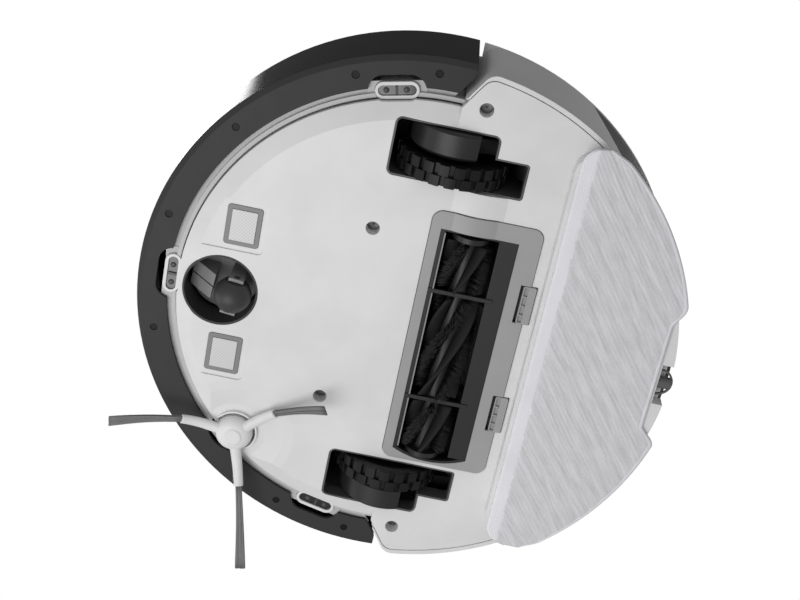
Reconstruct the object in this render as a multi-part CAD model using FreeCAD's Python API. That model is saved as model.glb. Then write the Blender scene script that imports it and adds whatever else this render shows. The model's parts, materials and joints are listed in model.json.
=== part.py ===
"""Robot vacuum with a wet mop: every piece is its own solid, in millimetres.

+Z is up and the floor is z = 0.  -Y is forwards (the bumper), +X is the robot's left.
The origin is on the floor, under the middle of the round body.
"""
import FreeCAD, Part
import math
import os
from FreeCAD import Vector

os.makedirs("parts", exist_ok=True)

# ---- driving dimensions -------------------------------------------------
BODY_R = 162.5            # widest radius, at the bumper
PLATE_Z = 12.0            # underside of the bottom plate
PLATE_T = 3.0
DECK_Z = 26.0             # inner floor that carries the motors and boards
DECK_T = 2.0
COVER_Z = 75.0            # underside of the top cover
BODY_H = 80.0
GAP = 0.3                 # clearance between neighbouring mouldings
FLANGE_R = 147.2          # rim of the frame's shelf, clear of the bumper when it is pressed
FLANGE_Z = (22.6, 24.2)
SKIN = 2.5                # wall of the frame

STEP_X = 138.5            # where the angled step behind the bumper begins
STEP_Y = 5.6
STEP_SLOPE = 0.65
STEP_FILLET = 8.0

PLATE_FRONT_R = 137.8
PLATE_REAR_R = 158.6
FRAME_FRONT_R = 141.2
FRAME_REAR_R = 159.2
PANEL_R = 161.8
RIM_RISE = 5.0            # how far the plate's front rim slopes up
RIM_IN_R = 127.5

RING_IN_R = 144.2
RING_FLAT_R = 159.2
RING_Z = 19.7
RING_T = 2.2
BUMPER_IN_R = 159.9
BUMPER_TOP = 77.0
BUMPER_END_Y = 10.0
BUMPER_BEVEL = 5.5        # how far its ends stay in front of the step
BUMPER_SCREW_R = 153.2
BUMPER_SCREWS_DEG = (-176.2, -158.5, -130.0, -104.2, -75.8, -50.0, -21.4, -3.8)

SENSOR_R = 142.0
SENSORS_DEG = (-167.2, -90.0, -12.8)
SENSOR_LEN = 25.0
SENSOR_W = 10.0

WHEEL_R = 32.5
WHEEL_X0 = 94.6           # inboard face of a drive wheel
WHEEL_X1 = 107.5
WHEEL_Y = 7.5
LUG_H = 2.4
LUG_COUNT = 22
LUG_ARC = 6.0
TYRE_T = 4.0
AXLE_R = 3.0
PIVOT_Y = 41.0            # suspension pivot, behind the wheel
PIVOT_Z = 40.0
PIVOT_R = 3.0
GEAR_CASE_X = (109.5, 125.0)
GEAR_CASE_R = 27.0
GEAR_CASE_REAR = 20.0     # the gear case is cut flat there, to clear the well when it drops
ARM_T = 9.0
SEAT_Z = 60.0             # where the suspension spring stands on the arm
WELL_X0 = 92.0
WELL_X1 = 126.7
WELL_FRONT = -28.8
WELL_REAR = 31.3
WELL_TAIL_X = 113.8
WELL_TAIL_Y = 50.3
WELL_FILLET = 4.0
LINER_T = 1.0             # the housing's wall that lines the opening of the plate
LINER_LOW = 12.3
HOUSING_X0 = 91.0
HOUSING_X1 = 130.0
HOUSING_Y0 = -33.0
HOUSING_Y1 = 72.0
HOUSING_T = 2.0
MOTOR_Y = 56.0
MOTOR_Z = 46.0
MOTOR_R = 12.0

CASTER_X = -0.9
CASTER_Y = -111.4
CASTER_HOLE_R = 22.75
CASTER_WHEEL_R = 11.4
CASTER_WHEEL_HALF = 9.2
CASTER_END_R = 6.6
CASTER_TRAIL = 8.0
CASTER_TURN = 6.0         # the fork stands turned by this angle
CASTER_AXLE_R = 2.0
CASTER_PIN_R = 3.0
CROWN_R = 20.4
CROWN_Z = (33.0, 41.5)
BAND_W = 7.6              # the fork's two sloped bands
BAND_GAP = 0.8

SIDE_X = -95.6            # side brush axis
SIDE_Y = -89.3
SIDE_HUB_R = 11.5
SIDE_BOWL_R = 37.0
SIDE_RIDGE_R = 31.0
SIDE_DEEP_R = 19.0
DISH_DEPTH = 4.0
SIDE_SLEEVE_R = 33.5
SIDE_TIP_R = 73.0
SIDE_ARMS_DEG = (-75.0, 45.0, 165.0)

COVER_BOX = (-89.2, 77.0, 2.8, 67.8)      # brush cover: x0, x1, y0, y1
COVER_WINDOW = (-82.2, 66.2, 8.9, 54.8)
COVER_LOW = 11.2
COVER_THICK = 1.8
RIBS_X = (-44.6, 27.0)
RIB_W = 2.4
STRIP_Y = 43.6            # front edge of the black rear strip
LATCH_X = ((-57.6, -33.4), (17.2, 41.3))
LATCH_Y = (63.5, 71.5)
WINDOW_BOW = 5.5          # how far the window's right end bows outwards
LINER_H = 3.4             # black lining of the window

BRUSH_Y = 27.2
BRUSH_Z = 19.0
BRUSH_CORE_R = 6.0
BRUSH_CAPS_X = ((-84.0, -80.8), (60.9, 64.1))
BRUSH_CAP_R = 11.0
BRUSH_STUB_R = 3.0
BRUSH_TIP_R = 15.6
CHAMBER_R = 19.6
CHAMBER_X = (-87.5, 71.5)
CHAMBER_END_T = 3.4
DUCT_X = (-45.0, 15.0)
DUCT_Z = (22.0, 38.0)
BRUSH_GEAR_X = (76.2, 90.4)
BRUSH_MOTOR = (44.0, 58.0)   # y and z of the brush motor's axis
BRUSH_MOTOR_X = (44.0, 76.0)
BULGE_Y = 27.5
BULGE_R = 41.5
BULGE_DEPTH = 3.0

PAD_X = (29.5, 54.9)      # charging frames
PAD_Y = (-114.0, -93.1)
CONTACT_HALF = (9.75, 7.5)
POCKET_W = 3.2
POCKET_DEPTH = 0.9
SCREWS = ((140.1, 19.4), (-140.1, 19.4), (57.6, -29.7), (-57.6, -41.3))
SCREW_HOLE_R = 4.15
SCREW_HEAD_Z = 20.0

BIN_R = 161.4
BIN_FRONT = 78.0
BIN_HALF = 101.0
BIN_LOW = 16.0
BIN_WALL = 2.0
BIN_BUTTON_HALF = 12.0
BIN_BUTTON_Z = (62.9, 71.1)
FILTER_X = (44.0, 88.0)
FILTER_Y = (80.2, 92.0)
FILTER_Z = (26.0, 62.0)
BIN_SIDE_LOW_Y = 102.5    # slanted joint between side panel and dustbin
BIN_SIDE_TOP_Y = 84.0

TANK_R = 160.5
TANK_Y = 74.3
TANK_Z = (3.2, 11.7)
TANK_SIDES = (-124.0, 130.0)
TANK_T = 1.3
MOP_R = 166.0
MOP_Y = 76.7
MOP_SIDES = (-129.5, 135.5)
MOP_FRONT_FILLET = 12.0
MOP_REAR_FILLET = 6.0
NOTCH_X = (-32.0, 42.0)
NOTCH_Y = 152.0

RAILS_X = (-60.0, 60.0)   # guide rails of the tank, in grooves of the plate
RAIL_HALF = 4.0
RAIL_Y = (92.0, 140.0)

BUTTON_Y = (-78.0, -50.0) # power and home buttons on the top
IR_Y = -128.0
SIDE_MOTOR = (-76.5, -71.5)
FAN = (-47.0, 36.0)
FAN_Z = 44.5              # underside of the fan housing
FAN_TOP = 72.0
FAN_R = 27.0
IMPELLER_Z = 58.2
BATTERY_X = (-88.0, -15.0)
BATTERY_Y = (-57.0, -15.0)
BATTERY_TOP = 72.4
CELL_R = 9.1
CELLS = [(y, z) for y in (-45.5, -26.5) for z in (42.4, 61.5)]
MAIN_BOARD = (6.0, 86.0, -66.0, -8.0)     # x0, x1, y0, y1
MAIN_BOARD_Z = 48.0
BOARD_T = 1.6
CHIPS = ((20.0, -50.0, 14.0, 14.0, 2.4), (50.0, -52.0, 12.0, 10.0, 1.8), (66.0, -30.0, 12.0, 14.0, 7.4))

FAR = 200.0               # reach of a cutting tool


# ---- shape helpers ------------------------------------------------------
def box(x0, x1, y0, y1, z0, z1):
    return Part.makeBox(x1 - x0, y1 - y0, z1 - z0, Vector(x0, y0, z0))


def disc(radius, z0, z1, x=0.0, y=0.0):
    return Part.makeCylinder(radius, z1 - z0, Vector(x, y, z0))


def ring(outer, inner, z0, z1, x=0.0, y=0.0):
    return disc(outer, z0, z1, x, y).cut(disc(inner, z0 - 1, z1 + 1, x, y))


def rod_x(radius, x0, x1, y, z):
    return Part.makeCylinder(radius, x1 - x0, Vector(x0, y, z), Vector(1, 0, 0))


def rod_y(radius, y0, y1, x, z):
    return Part.makeCylinder(radius, y1 - y0, Vector(x, y0, z), Vector(0, 1, 0))


def rounded_box(x0, x1, y0, y1, z0, z1, radius):
    solid = box(x0, x1, y0, y1, z0, z1)
    return solid.makeFillet(radius, upright_edges(solid))


def face_of(points):
    return Part.Face(Part.makePolygon(points + points[:1]))


def prism(outline, z0, z1):
    return face_of([Vector(x, y, z0) for x, y in outline]).extrude(Vector(0, 0, z1 - z0))


def prism_x(outline, x0, x1):
    return face_of([Vector(x0, y, z) for y, z in outline]).extrude(Vector(x1 - x0, 0, 0))


def revolve_z(profile, x=0.0, y=0.0):
    face = face_of([Vector(x + r, y, z) for r, z in profile])
    return face.revolve(Vector(x, y, 0), Vector(0, 0, 1), 360)


def revolve_x(profile, y, z):
    face = face_of([Vector(x, y, z + r) for x, r in profile])
    return face.revolve(Vector(0, y, z), Vector(1, 0, 0), 360)


def fuse(solids):
    joined = solids[0].multiFuse(solids[1:])
    return joined.removeSplitter()


def turned(shape, degrees, x=0.0, y=0.0):
    copy = shape.copy()
    copy.rotate(Vector(x, y, 0), Vector(0, 0, 1), degrees)
    return copy


def mirrored(shape):
    return shape.mirror(Vector(0, 0, 0), Vector(1, 0, 0))


def stadium(length, width, z0, z1, radius_at):
    """A flat-sided oblong, long along the rim, centred at a radius on +X."""
    half = length / 2 - width / 2
    ends = [disc(width / 2, z0, z1, radius_at, sign * half) for sign in (-1, 1)]
    return fuse([box(radius_at - width / 2, radius_at + width / 2, -half, half, z0, z1)] + ends)


def upright_edges(solid):
    return [e for e in solid.Edges if abs(e.tangentAt(e.FirstParameter).z) > 0.9]


def coil(radius, pitch, turns, wire):
    """A spring on the Z axis: tilted half rings, one above the other, with a ball at each joint."""
    tilt = math.degrees(math.atan(pitch / (4 * radius)))
    half = Part.makeTorus(radius, wire, Vector(0, 0, 0), Vector(0, 0, 1), 0, 360, 180)
    pieces = []
    for i in range(2 * turns):
        piece = half.copy()
        piece.rotate(Vector(0, 0, 0), Vector(0, 1, 0), tilt)
        piece.rotate(Vector(0, 0, 0), Vector(0, 0, 1), 180 * i)
        piece.translate(Vector(0, 0, pitch * (i / 2 + 0.25)))
        pieces.append(piece)
        joint = Vector(radius if i % 2 == 0 else -radius, 0, pitch * i / 2)
        pieces.append(Part.makeSphere(wire * 1.06, joint))
    return pieces[0].multiFuse(pieces[1:])


# ---- footprints ---------------------------------------------------------
def behind_step(inset, z0, z1):
    """Everything behind the angled step that follows the bumper's ends."""
    y0 = STEP_Y + inset * math.hypot(1.0, STEP_SLOPE)
    rise = STEP_SLOPE * (FAR - STEP_X)
    corner = [(-FAR, y0 + rise), (-STEP_X, y0), (STEP_X, y0), (FAR, y0 + rise)]
    return prism(corner + [(FAR, FAR), (-FAR, FAR)], z0, z1)


def rear_footprint(radius, inset, z0, z1):
    """The rear half with its rounded front corners."""
    solid = disc(radius, z0, z1).common(behind_step(inset, z0, z1))
    corners = [e for e in upright_edges(solid) if abs(e.CenterOfMass.x) > STEP_X + 5]
    return solid.makeFillet(STEP_FILLET, corners)


def body_footprint(front_r, rear_r, inset, z0, z1):
    return fuse([disc(front_r, z0, z1), rear_footprint(rear_r, inset, z0, z1)])


def bin_region(gap, z0, z1):
    """The space of the dustbin, open to the back, grown by a gap."""
    middle = box(-BIN_HALF - gap, BIN_HALF + gap, BIN_FRONT - gap, FAR, z0, z1)
    slope = (BIN_SIDE_LOW_Y - BIN_SIDE_TOP_Y) / (COVER_Z - BIN_LOW)
    low_y = BIN_SIDE_LOW_Y - gap + slope * (BIN_LOW - z0)
    top_y = BIN_SIDE_LOW_Y - gap + slope * (BIN_LOW - z1)
    sides = prism_x([(low_y, z0), (FAR, z0), (FAR, z1), (top_y, z1)], -FAR, FAR)
    return fuse([middle, sides])


# ---- bottom plate and frame --------------------------------------------
def side_brush_dish():
    """The space of the shallow dish round the side brush, with its raised lip at the hub left standing."""
    lip = SIDE_HUB_R + 1.5
    deep = PLATE_Z + DISH_DEPTH
    rim = [(0, 0), (SIDE_BOWL_R, 0), (SIDE_BOWL_R, PLATE_Z), (SIDE_RIDGE_R, PLATE_Z + 0.6)]
    floor = [(SIDE_DEEP_R, deep), (lip + 1.2, deep)]
    hub = [(lip + 1.2, deep - 2.0), (lip, deep - 2.0), (lip, FAR), (0, FAR)]
    dish = rim + floor + hub
    return revolve_z(dish, SIDE_X, SIDE_Y)


def side_brush_bed():
    """Extra thickness above the plate that carries the dish."""
    top = PLATE_Z + PLATE_T
    outer = SIDE_BOWL_R - 2
    bed = revolve_z([(0, top - 1), (outer, top - 1), (outer, top), (SIDE_DEEP_R + 4, top + DISH_DEPTH),
                     (0, top + DISH_DEPTH)], SIDE_X, SIDE_Y)
    sloped = revolve_z([(0, PLATE_Z), (RIM_IN_R, PLATE_Z), (PLATE_FRONT_R, PLATE_Z + RIM_RISE),
                        (PLATE_FRONT_R, FAR), (0, FAR)])
    return bed.common(sloped)


def wheel_well(inset, z0, z1):
    """The opening over a drive wheel; a positive inset makes it smaller all round."""
    radius = WELL_FILLET - inset
    x0 = WELL_X0 + inset
    front = rounded_box(x0, WELL_X1 - inset, WELL_FRONT + inset, WELL_REAR - inset, z0, z1, radius)
    tail = rounded_box(x0, WELL_TAIL_X - inset, 0, WELL_TAIL_Y - inset, z0, z1, radius / 2)
    return fuse([front, tail])


def gearbox_bulge(x0, x1):
    """The soft half-round swelling over the brush gears."""
    low = PLATE_Z - BULGE_DEPTH
    drum = rod_x(BULGE_R, x0, x1, BULGE_Y, low + BULGE_R)
    return drum.common(box(x0, x1, -FAR, FAR, low, PLATE_Z + PLATE_T))


def charging_pocket(x0, x1):
    """A shallow recess round a charging frame, running out over the sloped rim."""
    rear = PAD_Y[1] + POCKET_W
    return rounded_box(x0 - POCKET_W, x1 + POCKET_W, -FAR, rear, 0, PLATE_Z + POCKET_DEPTH, POCKET_W)


def bottom_plate():
    top = PLATE_Z + PLATE_T
    rim = [(0, PLATE_Z), (RIM_IN_R, PLATE_Z), (PLATE_FRONT_R, PLATE_Z + RIM_RISE),
           (PLATE_FRONT_R, top + RIM_RISE), (RIM_IN_R, top), (0, top)]
    front = revolve_z(rim).common(box(-FAR, FAR, -FAR, STEP_Y + 1, PLATE_Z, FAR))
    rear = rear_footprint(PLATE_REAR_R, 0, PLATE_Z, top)
    plate = fuse([front, rear, gearbox_bulge(COVER_BOX[1] + 1, WELL_X0 + 1), side_brush_bed()])
    plate = plate.cut(side_brush_dish())
    bosses = [ring(SCREW_HOLE_R + 2, 1.7, top - 1, DECK_Z - 0.1, x, y) for x, y in SCREWS]
    well = wheel_well(-0.15, 0, FAR)
    cuts = [well, mirrored(well)]
    x0, x1, y0, y1 = COVER_BOX
    cuts.append(rounded_box(x0 - GAP, x1 + GAP, y0 - GAP, y1 + GAP, 0, 40, 6.5))
    for a, b in LATCH_X:
        cuts.append(box(a - GAP, b + GAP, y1 - 2, LATCH_Y[1] + GAP, 0, 40))
    cuts.append(disc(CASTER_HOLE_R, 0, 40, CASTER_X, CASTER_Y))
    for side in (-1, 1):
        low, high = sorted((side * PAD_X[0], side * PAD_X[1]))
        cuts.append(rounded_box(low, high, PAD_Y[0], PAD_Y[1], 0, 40, 2.0))
        cuts.append(charging_pocket(low, high))
    for degrees in SENSORS_DEG:
        cuts.append(turned(stadium(SENSOR_LEN + 0.6, SENSOR_W + 0.6, 0, 40, SENSOR_R), degrees))
    for x, y in SCREWS:
        cuts.append(disc(SCREW_HOLE_R, 0, SCREW_HEAD_Z + 2.5, x, y))
    for x in RAILS_X:
        cuts.append(box(x - RAIL_HALF - 0.4, x + RAIL_HALF + 0.4, RAIL_Y[0] - 0.4, FAR, 0, 40))
    plate = fuse([plate] + bosses)
    return plate.cut(Part.makeCompound(cuts)).removeSplitter()


def bottom_screws():
    solids = []
    for x, y in SCREWS:
        head = disc(3.6, SCREW_HEAD_Z, SCREW_HEAD_Z + 2.5, x, y)
        head = head.cut(disc(0.9, SCREW_HEAD_Z - 1, SCREW_HEAD_Z + 1.2, x, y))
        solids.append(fuse([head, disc(1.5, SCREW_HEAD_Z + 2, SCREW_HEAD_Z + 12.5, x, y)]))
    return Part.makeCompound(solids)


def frame_deck():
    deck = body_footprint(FRAME_FRONT_R - 1, FRAME_REAR_R - 1, 1, DECK_Z, DECK_Z + DECK_T)
    posts = [ring(4.5, 1.55, DECK_Z + 1, DECK_Z + 6, x, y) for x, y in SCREWS]
    return fuse([deck] + posts)


def frame_cutouts():
    """What stands through the frame's deck and walls."""
    cuts = [box(HOUSING_X0 - GAP, HOUSING_X1 + GAP, HOUSING_Y0 - GAP, HOUSING_Y1 + GAP, 0, COVER_Z)]
    cuts.append(mirrored(cuts[0]))
    cuts.append(box(-HOUSING_X0, HOUSING_X0, 0.7, BIN_FRONT - 0.5, 0, FAN_Z - 0.2))
    cuts.append(disc(CASTER_HOLE_R + 0.3, 0, 60, CASTER_X, CASTER_Y))
    cuts.append(disc(SIDE_HUB_R + 4.0, 0, DECK_Z - 1, SIDE_X, SIDE_Y))
    cuts.append(side_gearbox_space(0.4))
    for degrees in SENSORS_DEG:
        cuts.append(turned(stadium(SENSOR_LEN + 0.4, SENSOR_W + 0.4, 0, 34.3, SENSOR_R), degrees))
    for x, y in SCREWS:
        cuts.append(disc(1.55, 0, DECK_Z + 12.5, x, y))
    return cuts


def frame_flange():
    """The shelf that closes the gap above the bumper's ring, with a block round each front sensor."""
    z0, z1 = FLANGE_Z
    shelf = ring(FLANGE_R, FRAME_FRONT_R - SKIN, z0, z1)
    blocks = []
    for degrees in SENSORS_DEG:
        block = rounded_box(SENSOR_R - 8, FLANGE_R, -17.0, 17.0, RING_Z + 2.4, z1, 2.0)
        blocks.append(turned(block, degrees))
    flange = fuse([shelf] + blocks).cut(disc(PLATE_FRONT_R + 0.6, 0, FAR))
    return flange.cut(behind_step(-BUMPER_BEVEL, -1, FAR))


def middle_frame():
    top = COVER_Z - 0.4
    rear_low = PLATE_Z + PLATE_T + 0.1
    front_low = PLATE_Z + PLATE_T + RIM_RISE + 0.4
    outer = fuse([disc(FRAME_FRONT_R, front_low, top), rear_footprint(FRAME_REAR_R, 0, rear_low, top)])
    inner = fuse([disc(FRAME_FRONT_R - SKIN, 0, FAR),
                  rear_footprint(FRAME_REAR_R - SKIN, SKIN, 0, FAR)])
    wall = outer.cut(inner)
    deck = frame_deck()
    bay_wall = bin_region(SKIN + 0.6, rear_low, top).common(inner.common(outer))
    bay = bin_region(0.6, 0, FAR)
    frame = fuse([wall, deck, bay_wall, frame_flange()]).cut(bay)
    window = box(DUCT_X[0] - 5, FILTER_X[1] + 7, BIN_FRONT - 18, BIN_FRONT + 12, 0, FILTER_Z[1] + 4)
    return frame.cut(Part.makeCompound(frame_cutouts() + [window])).removeSplitter()


def lower_lip():
    """The pale lip below the side panels, from the bumper's ends to the dustbin."""
    z0 = PLATE_Z
    z1 = PLATE_Z + PLATE_T
    lip = rear_footprint(PANEL_R, -1.6, z0, z1)
    lip = lip.cut(rear_footprint(PLATE_REAR_R + 0.5, -0.5, z0 - 1, z1 + 1))
    lip = lip.cut(disc(STEP_X + 6, z0 - 1, z1 + 1))
    lip = lip.cut(bin_region(0.4, z0 - 1, z1 + 1))
    right = lip.common(box(-FAR, 0, -FAR, FAR, 0, FAR))
    left = lip.common(box(0, FAR, -FAR, FAR, 0, FAR))
    return Part.makeCompound([left, right])


def left_side_panel():
    z0 = PLATE_Z + PLATE_T + 0.1
    z1 = COVER_Z - 0.1
    panel = rear_footprint(PANEL_R, -1.6, z0, z1)
    panel = panel.cut(rear_footprint(FRAME_REAR_R + 0.1, -0.1, z0 - 1, z1 + 1))
    panel = panel.cut(disc(FRAME_FRONT_R + 2, z0 - 1, z1 + 1))
    panel = panel.cut(bin_region(0.4, z0 - 1, z1 + 1))
    return panel.common(box(0, FAR, -FAR, FAR, 0, FAR)).removeSplitter()


def top_cover():
    edge_z = COVER_Z + 1.8
    low = COVER_Z
    arc = Part.Arc(Vector(PANEL_R, 0, edge_z), Vector(PANEL_R * 0.52, 0, BODY_H - 0.9),
                   Vector(0, 0, BODY_H)).toShape()
    side = [Part.makeLine(Vector(0, 0, BODY_H), Vector(0, 0, low)),
            Part.makeLine(Vector(0, 0, low), Vector(PANEL_R, 0, low)),
            Part.makeLine(Vector(PANEL_R, 0, low), Vector(PANEL_R, 0, edge_z))]
    dome = Part.Face(Part.Wire([arc] + side)).revolve(Vector(0, 0, 0), Vector(0, 0, 1), 360)
    footprint = fuse([disc(153.0, 0, FAR), disc(FAR, 0, FAR).cut(box(-FAR, FAR, -FAR, 13.2, 0, FAR))])
    cover = dome.common(footprint)
    cover = cover.cut(disc(112.0, BODY_H - 2.9, FAR))
    for y in BUTTON_Y:
        cover = cover.cut(disc(9.3, 0, FAR, 0, y))
    return cover.cut(disc(6.3, 0, FAR, 0, IR_Y))


def top_panel():
    panel = revolve_z([(0, BODY_H - 2.7), (111.6, BODY_H - 2.7), (111.6, BODY_H - 1.3),
                       (110.8, BODY_H - 0.9), (60, BODY_H - 0.2), (0, BODY_H)])
    for y in BUTTON_Y:
        panel = panel.cut(disc(9.3, 0, FAR, 0, y))
    return panel


def top_button(y):
    cap = disc(8.9, COVER_Z - 1.5, BODY_H + 0.1, 0, y)
    rim = [e for e in cap.Edges if e.CenterOfMass.z > BODY_H]
    flange = disc(10.3, COVER_Z - 1.8, COVER_Z - 0.1, 0, y)
    return fuse([cap.makeFillet(0.7, rim), flange])


def ir_window():
    lens = disc(6.0, COVER_Z - 3, BODY_H - 0.6, 0, IR_Y)
    rim = [e for e in lens.Edges if e.CenterOfMass.z > BODY_H - 1]
    return lens.makeFillet(2.0, rim)


# ---- bumper -------------------------------------------------------------
def bumper_side():
    """The front half, cut back at the ends along the angled step."""
    return box(-FAR, FAR, -FAR, BUMPER_END_Y, 0, FAR).cut(behind_step(-BUMPER_BEVEL, -1, FAR + 1).cut(
        box(-STEP_X, STEP_X, -FAR, FAR, -2, FAR + 2)))


def bumper_shell():
    low = RING_Z + RING_T
    profile = [(BUMPER_IN_R, low), (BODY_R, low), (BODY_R, BUMPER_TOP - 1.2),
               (BODY_R - 1.2, BUMPER_TOP), (156.5, BUMPER_TOP), (156.5, BUMPER_TOP - 1.8),
               (BUMPER_IN_R, BUMPER_TOP - 1.8)]
    shell = revolve_z(profile).common(bumper_side())
    bosses = []
    for degrees in BUMPER_SCREWS_DEG:
        post = disc(3.0, low, low + 12, BUMPER_SCREW_R, 0)
        web = box(BUMPER_SCREW_R, BUMPER_IN_R + 1, -0.9, 0.9, low, low + 12)
        boss = fuse([post, web]).cut(disc(1.1, low - 1, low + 11, BUMPER_SCREW_R, 0))
        bosses.append(turned(boss, degrees))
    return fuse([shell] + bosses)


def bumper_ring():
    profile = [(RING_IN_R, RING_Z), (RING_FLAT_R, RING_Z), (BODY_R, RING_Z + 1.7),
               (BODY_R, RING_Z + RING_T), (RING_IN_R, RING_Z + RING_T)]
    shape = revolve_z(profile).common(bumper_side())
    cuts = [disc(18.0, 0, 40, SIDE_X, SIDE_Y)]
    for degrees in SENSORS_DEG:
        cuts.append(turned(stadium(SENSOR_LEN + 8, SENSOR_W + 8, 0, 40, SENSOR_R), degrees))
    for degrees in BUMPER_SCREWS_DEG:
        bore = disc(1.25, 0, 40, BUMPER_SCREW_R, 0)
        sink = disc(2.3, 0, RING_Z + 1.2, BUMPER_SCREW_R, 0)
        cuts.append(turned(fuse([bore, sink]), degrees))
    return shape.cut(Part.makeCompound(cuts))


def bumper_screws():
    solids = []
    for degrees in BUMPER_SCREWS_DEG:
        head = disc(2.1, RING_Z + 0.4, RING_Z + 1.2, BUMPER_SCREW_R, 0)
        shank = disc(1.05, RING_Z + 1.0, RING_Z + 12, BUMPER_SCREW_R, 0)
        solids.append(turned(fuse([head, shank]), degrees))
    return Part.makeCompound(solids)


def bumper_switches():
    case = box(FRAME_FRONT_R + 0.1, FRAME_FRONT_R + 6.5, -6.5, 6.5, 44, 52)
    lever = box(FRAME_FRONT_R + 6.4, FRAME_FRONT_R + 7.2, -5.5, 4.0, 46.5, 49.5)
    return Part.makeCompound([turned(fuse([case, lever]), angle) for angle in (-122.0, -58.0)])


def bumper_springs():
    solids = []
    for x in (-34.0, 34.0):
        spring = coil(3.0, 2.4, 6, 0.4)
        spring.rotate(Vector(0, 0, 0), Vector(1, 0, 0), 90)
        spring.translate(Vector(x, -138.2, 58.0))
        solids.append(spring)
    return Part.makeCompound(solids)


# ---- sensors and charging contacts --------------------------------------
def sensor_bezels():
    bezel = stadium(SENSOR_LEN, SENSOR_W, RING_Z + 0.4, 34.0, SENSOR_R)
    slot = stadium(SENSOR_LEN - 3.2, SENSOR_W - 4.0, 0, 31.0, SENSOR_R)
    return Part.makeCompound([turned(bezel.cut(slot), angle) for angle in SENSORS_DEG])


def sensor_windows():
    pane = stadium(SENSOR_LEN - 3.4, SENSOR_W - 4.2, RING_Z + 1.6, RING_Z + 3.0, SENSOR_R)
    return Part.makeCompound([turned(pane, angle) for angle in SENSORS_DEG])


def charging_centres():
    y = (PAD_Y[0] + PAD_Y[1]) / 2
    x = (PAD_X[0] + PAD_X[1]) / 2
    return ((x, y), (-x, y))


def charging_frames():
    half_x = (PAD_X[1] - PAD_X[0]) / 2 - 0.15
    half_y = (PAD_Y[1] - PAD_Y[0]) / 2 - 0.15
    hole_x, hole_y = CONTACT_HALF
    solids = []
    for x, y in charging_centres():
        tray = rounded_box(x - half_x, x + half_x, y - half_y, y + half_y, PLATE_Z + 0.5, PLATE_Z + 5, 1.8)
        reach_x = hole_x + 0.1
        reach_y = hole_y + 0.1
        tray = tray.cut(box(x - reach_x, x + reach_x, y - reach_y, y + reach_y, 0, 15.6))
        solids.append(tray)
    return Part.makeCompound(solids)


def charging_contacts():
    hole_x, hole_y = CONTACT_HALF
    low = PLATE_Z + 0.1
    plates = [box(x - hole_x, x + hole_x, y - hole_y, y + hole_y, low, 15.5) for x, y in charging_centres()]
    return Part.makeCompound(plates)


# ---- drive wheels (left side; the right one is mirrored) -----------------
def both_sides(left):
    """A left-hand piece and its mirror image as one group."""
    return Part.makeCompound([left, mirrored(left)])


def wheel_housing():
    low = PLATE_Z + PLATE_T + 0.1
    top = COVER_Z - 0.4
    shell = box(HOUSING_X0, HOUSING_X1, HOUSING_Y0, HOUSING_Y1, low, top)
    t = HOUSING_T
    room = box(HOUSING_X0 + t, HOUSING_X1 - t - 0.4, HOUSING_Y0 + t, HOUSING_Y1 - t, 0, top - t)
    rim_space = revolve_z([(RIM_IN_R, 0), (FAR, 0), (FAR, low + RIM_RISE), (PLATE_FRONT_R, low + RIM_RISE),
                           (RIM_IN_R, low)])
    rim_space = rim_space.common(box(-FAR, FAR, -FAR, STEP_Y + 1.5, 0, FAR))
    shell = shell.cut(room).cut(rim_space)
    floor = box(HOUSING_X0 + 1, HOUSING_X1 - 1, HOUSING_Y0 + 1, HOUSING_Y1 - 1, low, low + 2).cut(rim_space)
    liner = wheel_well(0, LINER_LOW, low + 8)
    liner_space = revolve_z([(RIM_IN_R, 0), (PLATE_FRONT_R, 0), (PLATE_FRONT_R, LINER_LOW + RIM_RISE),
                             (RIM_IN_R, LINER_LOW)])
    liner = liner.cut(liner_space.common(box(-FAR, FAR, -FAR, STEP_Y, 0, FAR)))
    housing = fuse([shell, floor, liner]).cut(wheel_well(LINER_T, 0, low + 9))
    return housing.cut(rod_x(PIVOT_R + 0.05, HOUSING_X1 - 3.0, FAR, PIVOT_Y, PIVOT_Z))


def suspension_pin():
    return rod_x(PIVOT_R, GEAR_CASE_X[0] + 0.5, HOUSING_X1 - 0.1, PIVOT_Y, PIVOT_Z)


def wheel_hub():
    bore = AXLE_R + 0.05
    rim = WHEEL_R - LUG_H - TYRE_T
    profile = [(WHEEL_X0 + 1.5, bore), (WHEEL_X0 + 1.5, 9), (WHEEL_X0 + 4, 10),
               (WHEEL_X0 + 4, rim - 3), (WHEEL_X0 + 0.8, rim - 2), (WHEEL_X0 + 0.8, rim),
               (WHEEL_X1 - 0.8, rim), (WHEEL_X1 - 0.8, rim - 2), (WHEEL_X1 - 3, rim - 3),
               (WHEEL_X1 - 3, 10), (WHEEL_X1 - 0.3, 9), (WHEEL_X1 - 0.3, bore)]
    return revolve_x(profile, WHEEL_Y, WHEEL_R)


def wheel_tyre():
    base_r = WHEEL_R - LUG_H
    width = WHEEL_X1 - WHEEL_X0
    pieces = [rod_x(base_r, WHEEL_X0, WHEEL_X1, WHEEL_Y, WHEEL_R)]
    for row in (0, 1):
        x0 = WHEEL_X0 + row * (width / 2 + 0.2)
        x1 = x0 + width / 2 - 0.2
        block = box(x0, x1, WHEEL_Y - LUG_ARC / 2, WHEEL_Y + LUG_ARC / 2, WHEEL_R, 2 * WHEEL_R)
        for i in range(LUG_COUNT):
            lug = block.copy()
            lug.rotate(Vector(0, WHEEL_Y, WHEEL_R), Vector(1, 0, 0), 360.0 / LUG_COUNT * (i + row / 2))
            pieces.append(lug)
    tread = fuse(pieces).common(rod_x(WHEEL_R, WHEEL_X0, WHEEL_X1, WHEEL_Y, WHEEL_R))
    return tread.cut(rod_x(base_r - TYRE_T, 0, FAR, WHEEL_Y, WHEEL_R))


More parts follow.
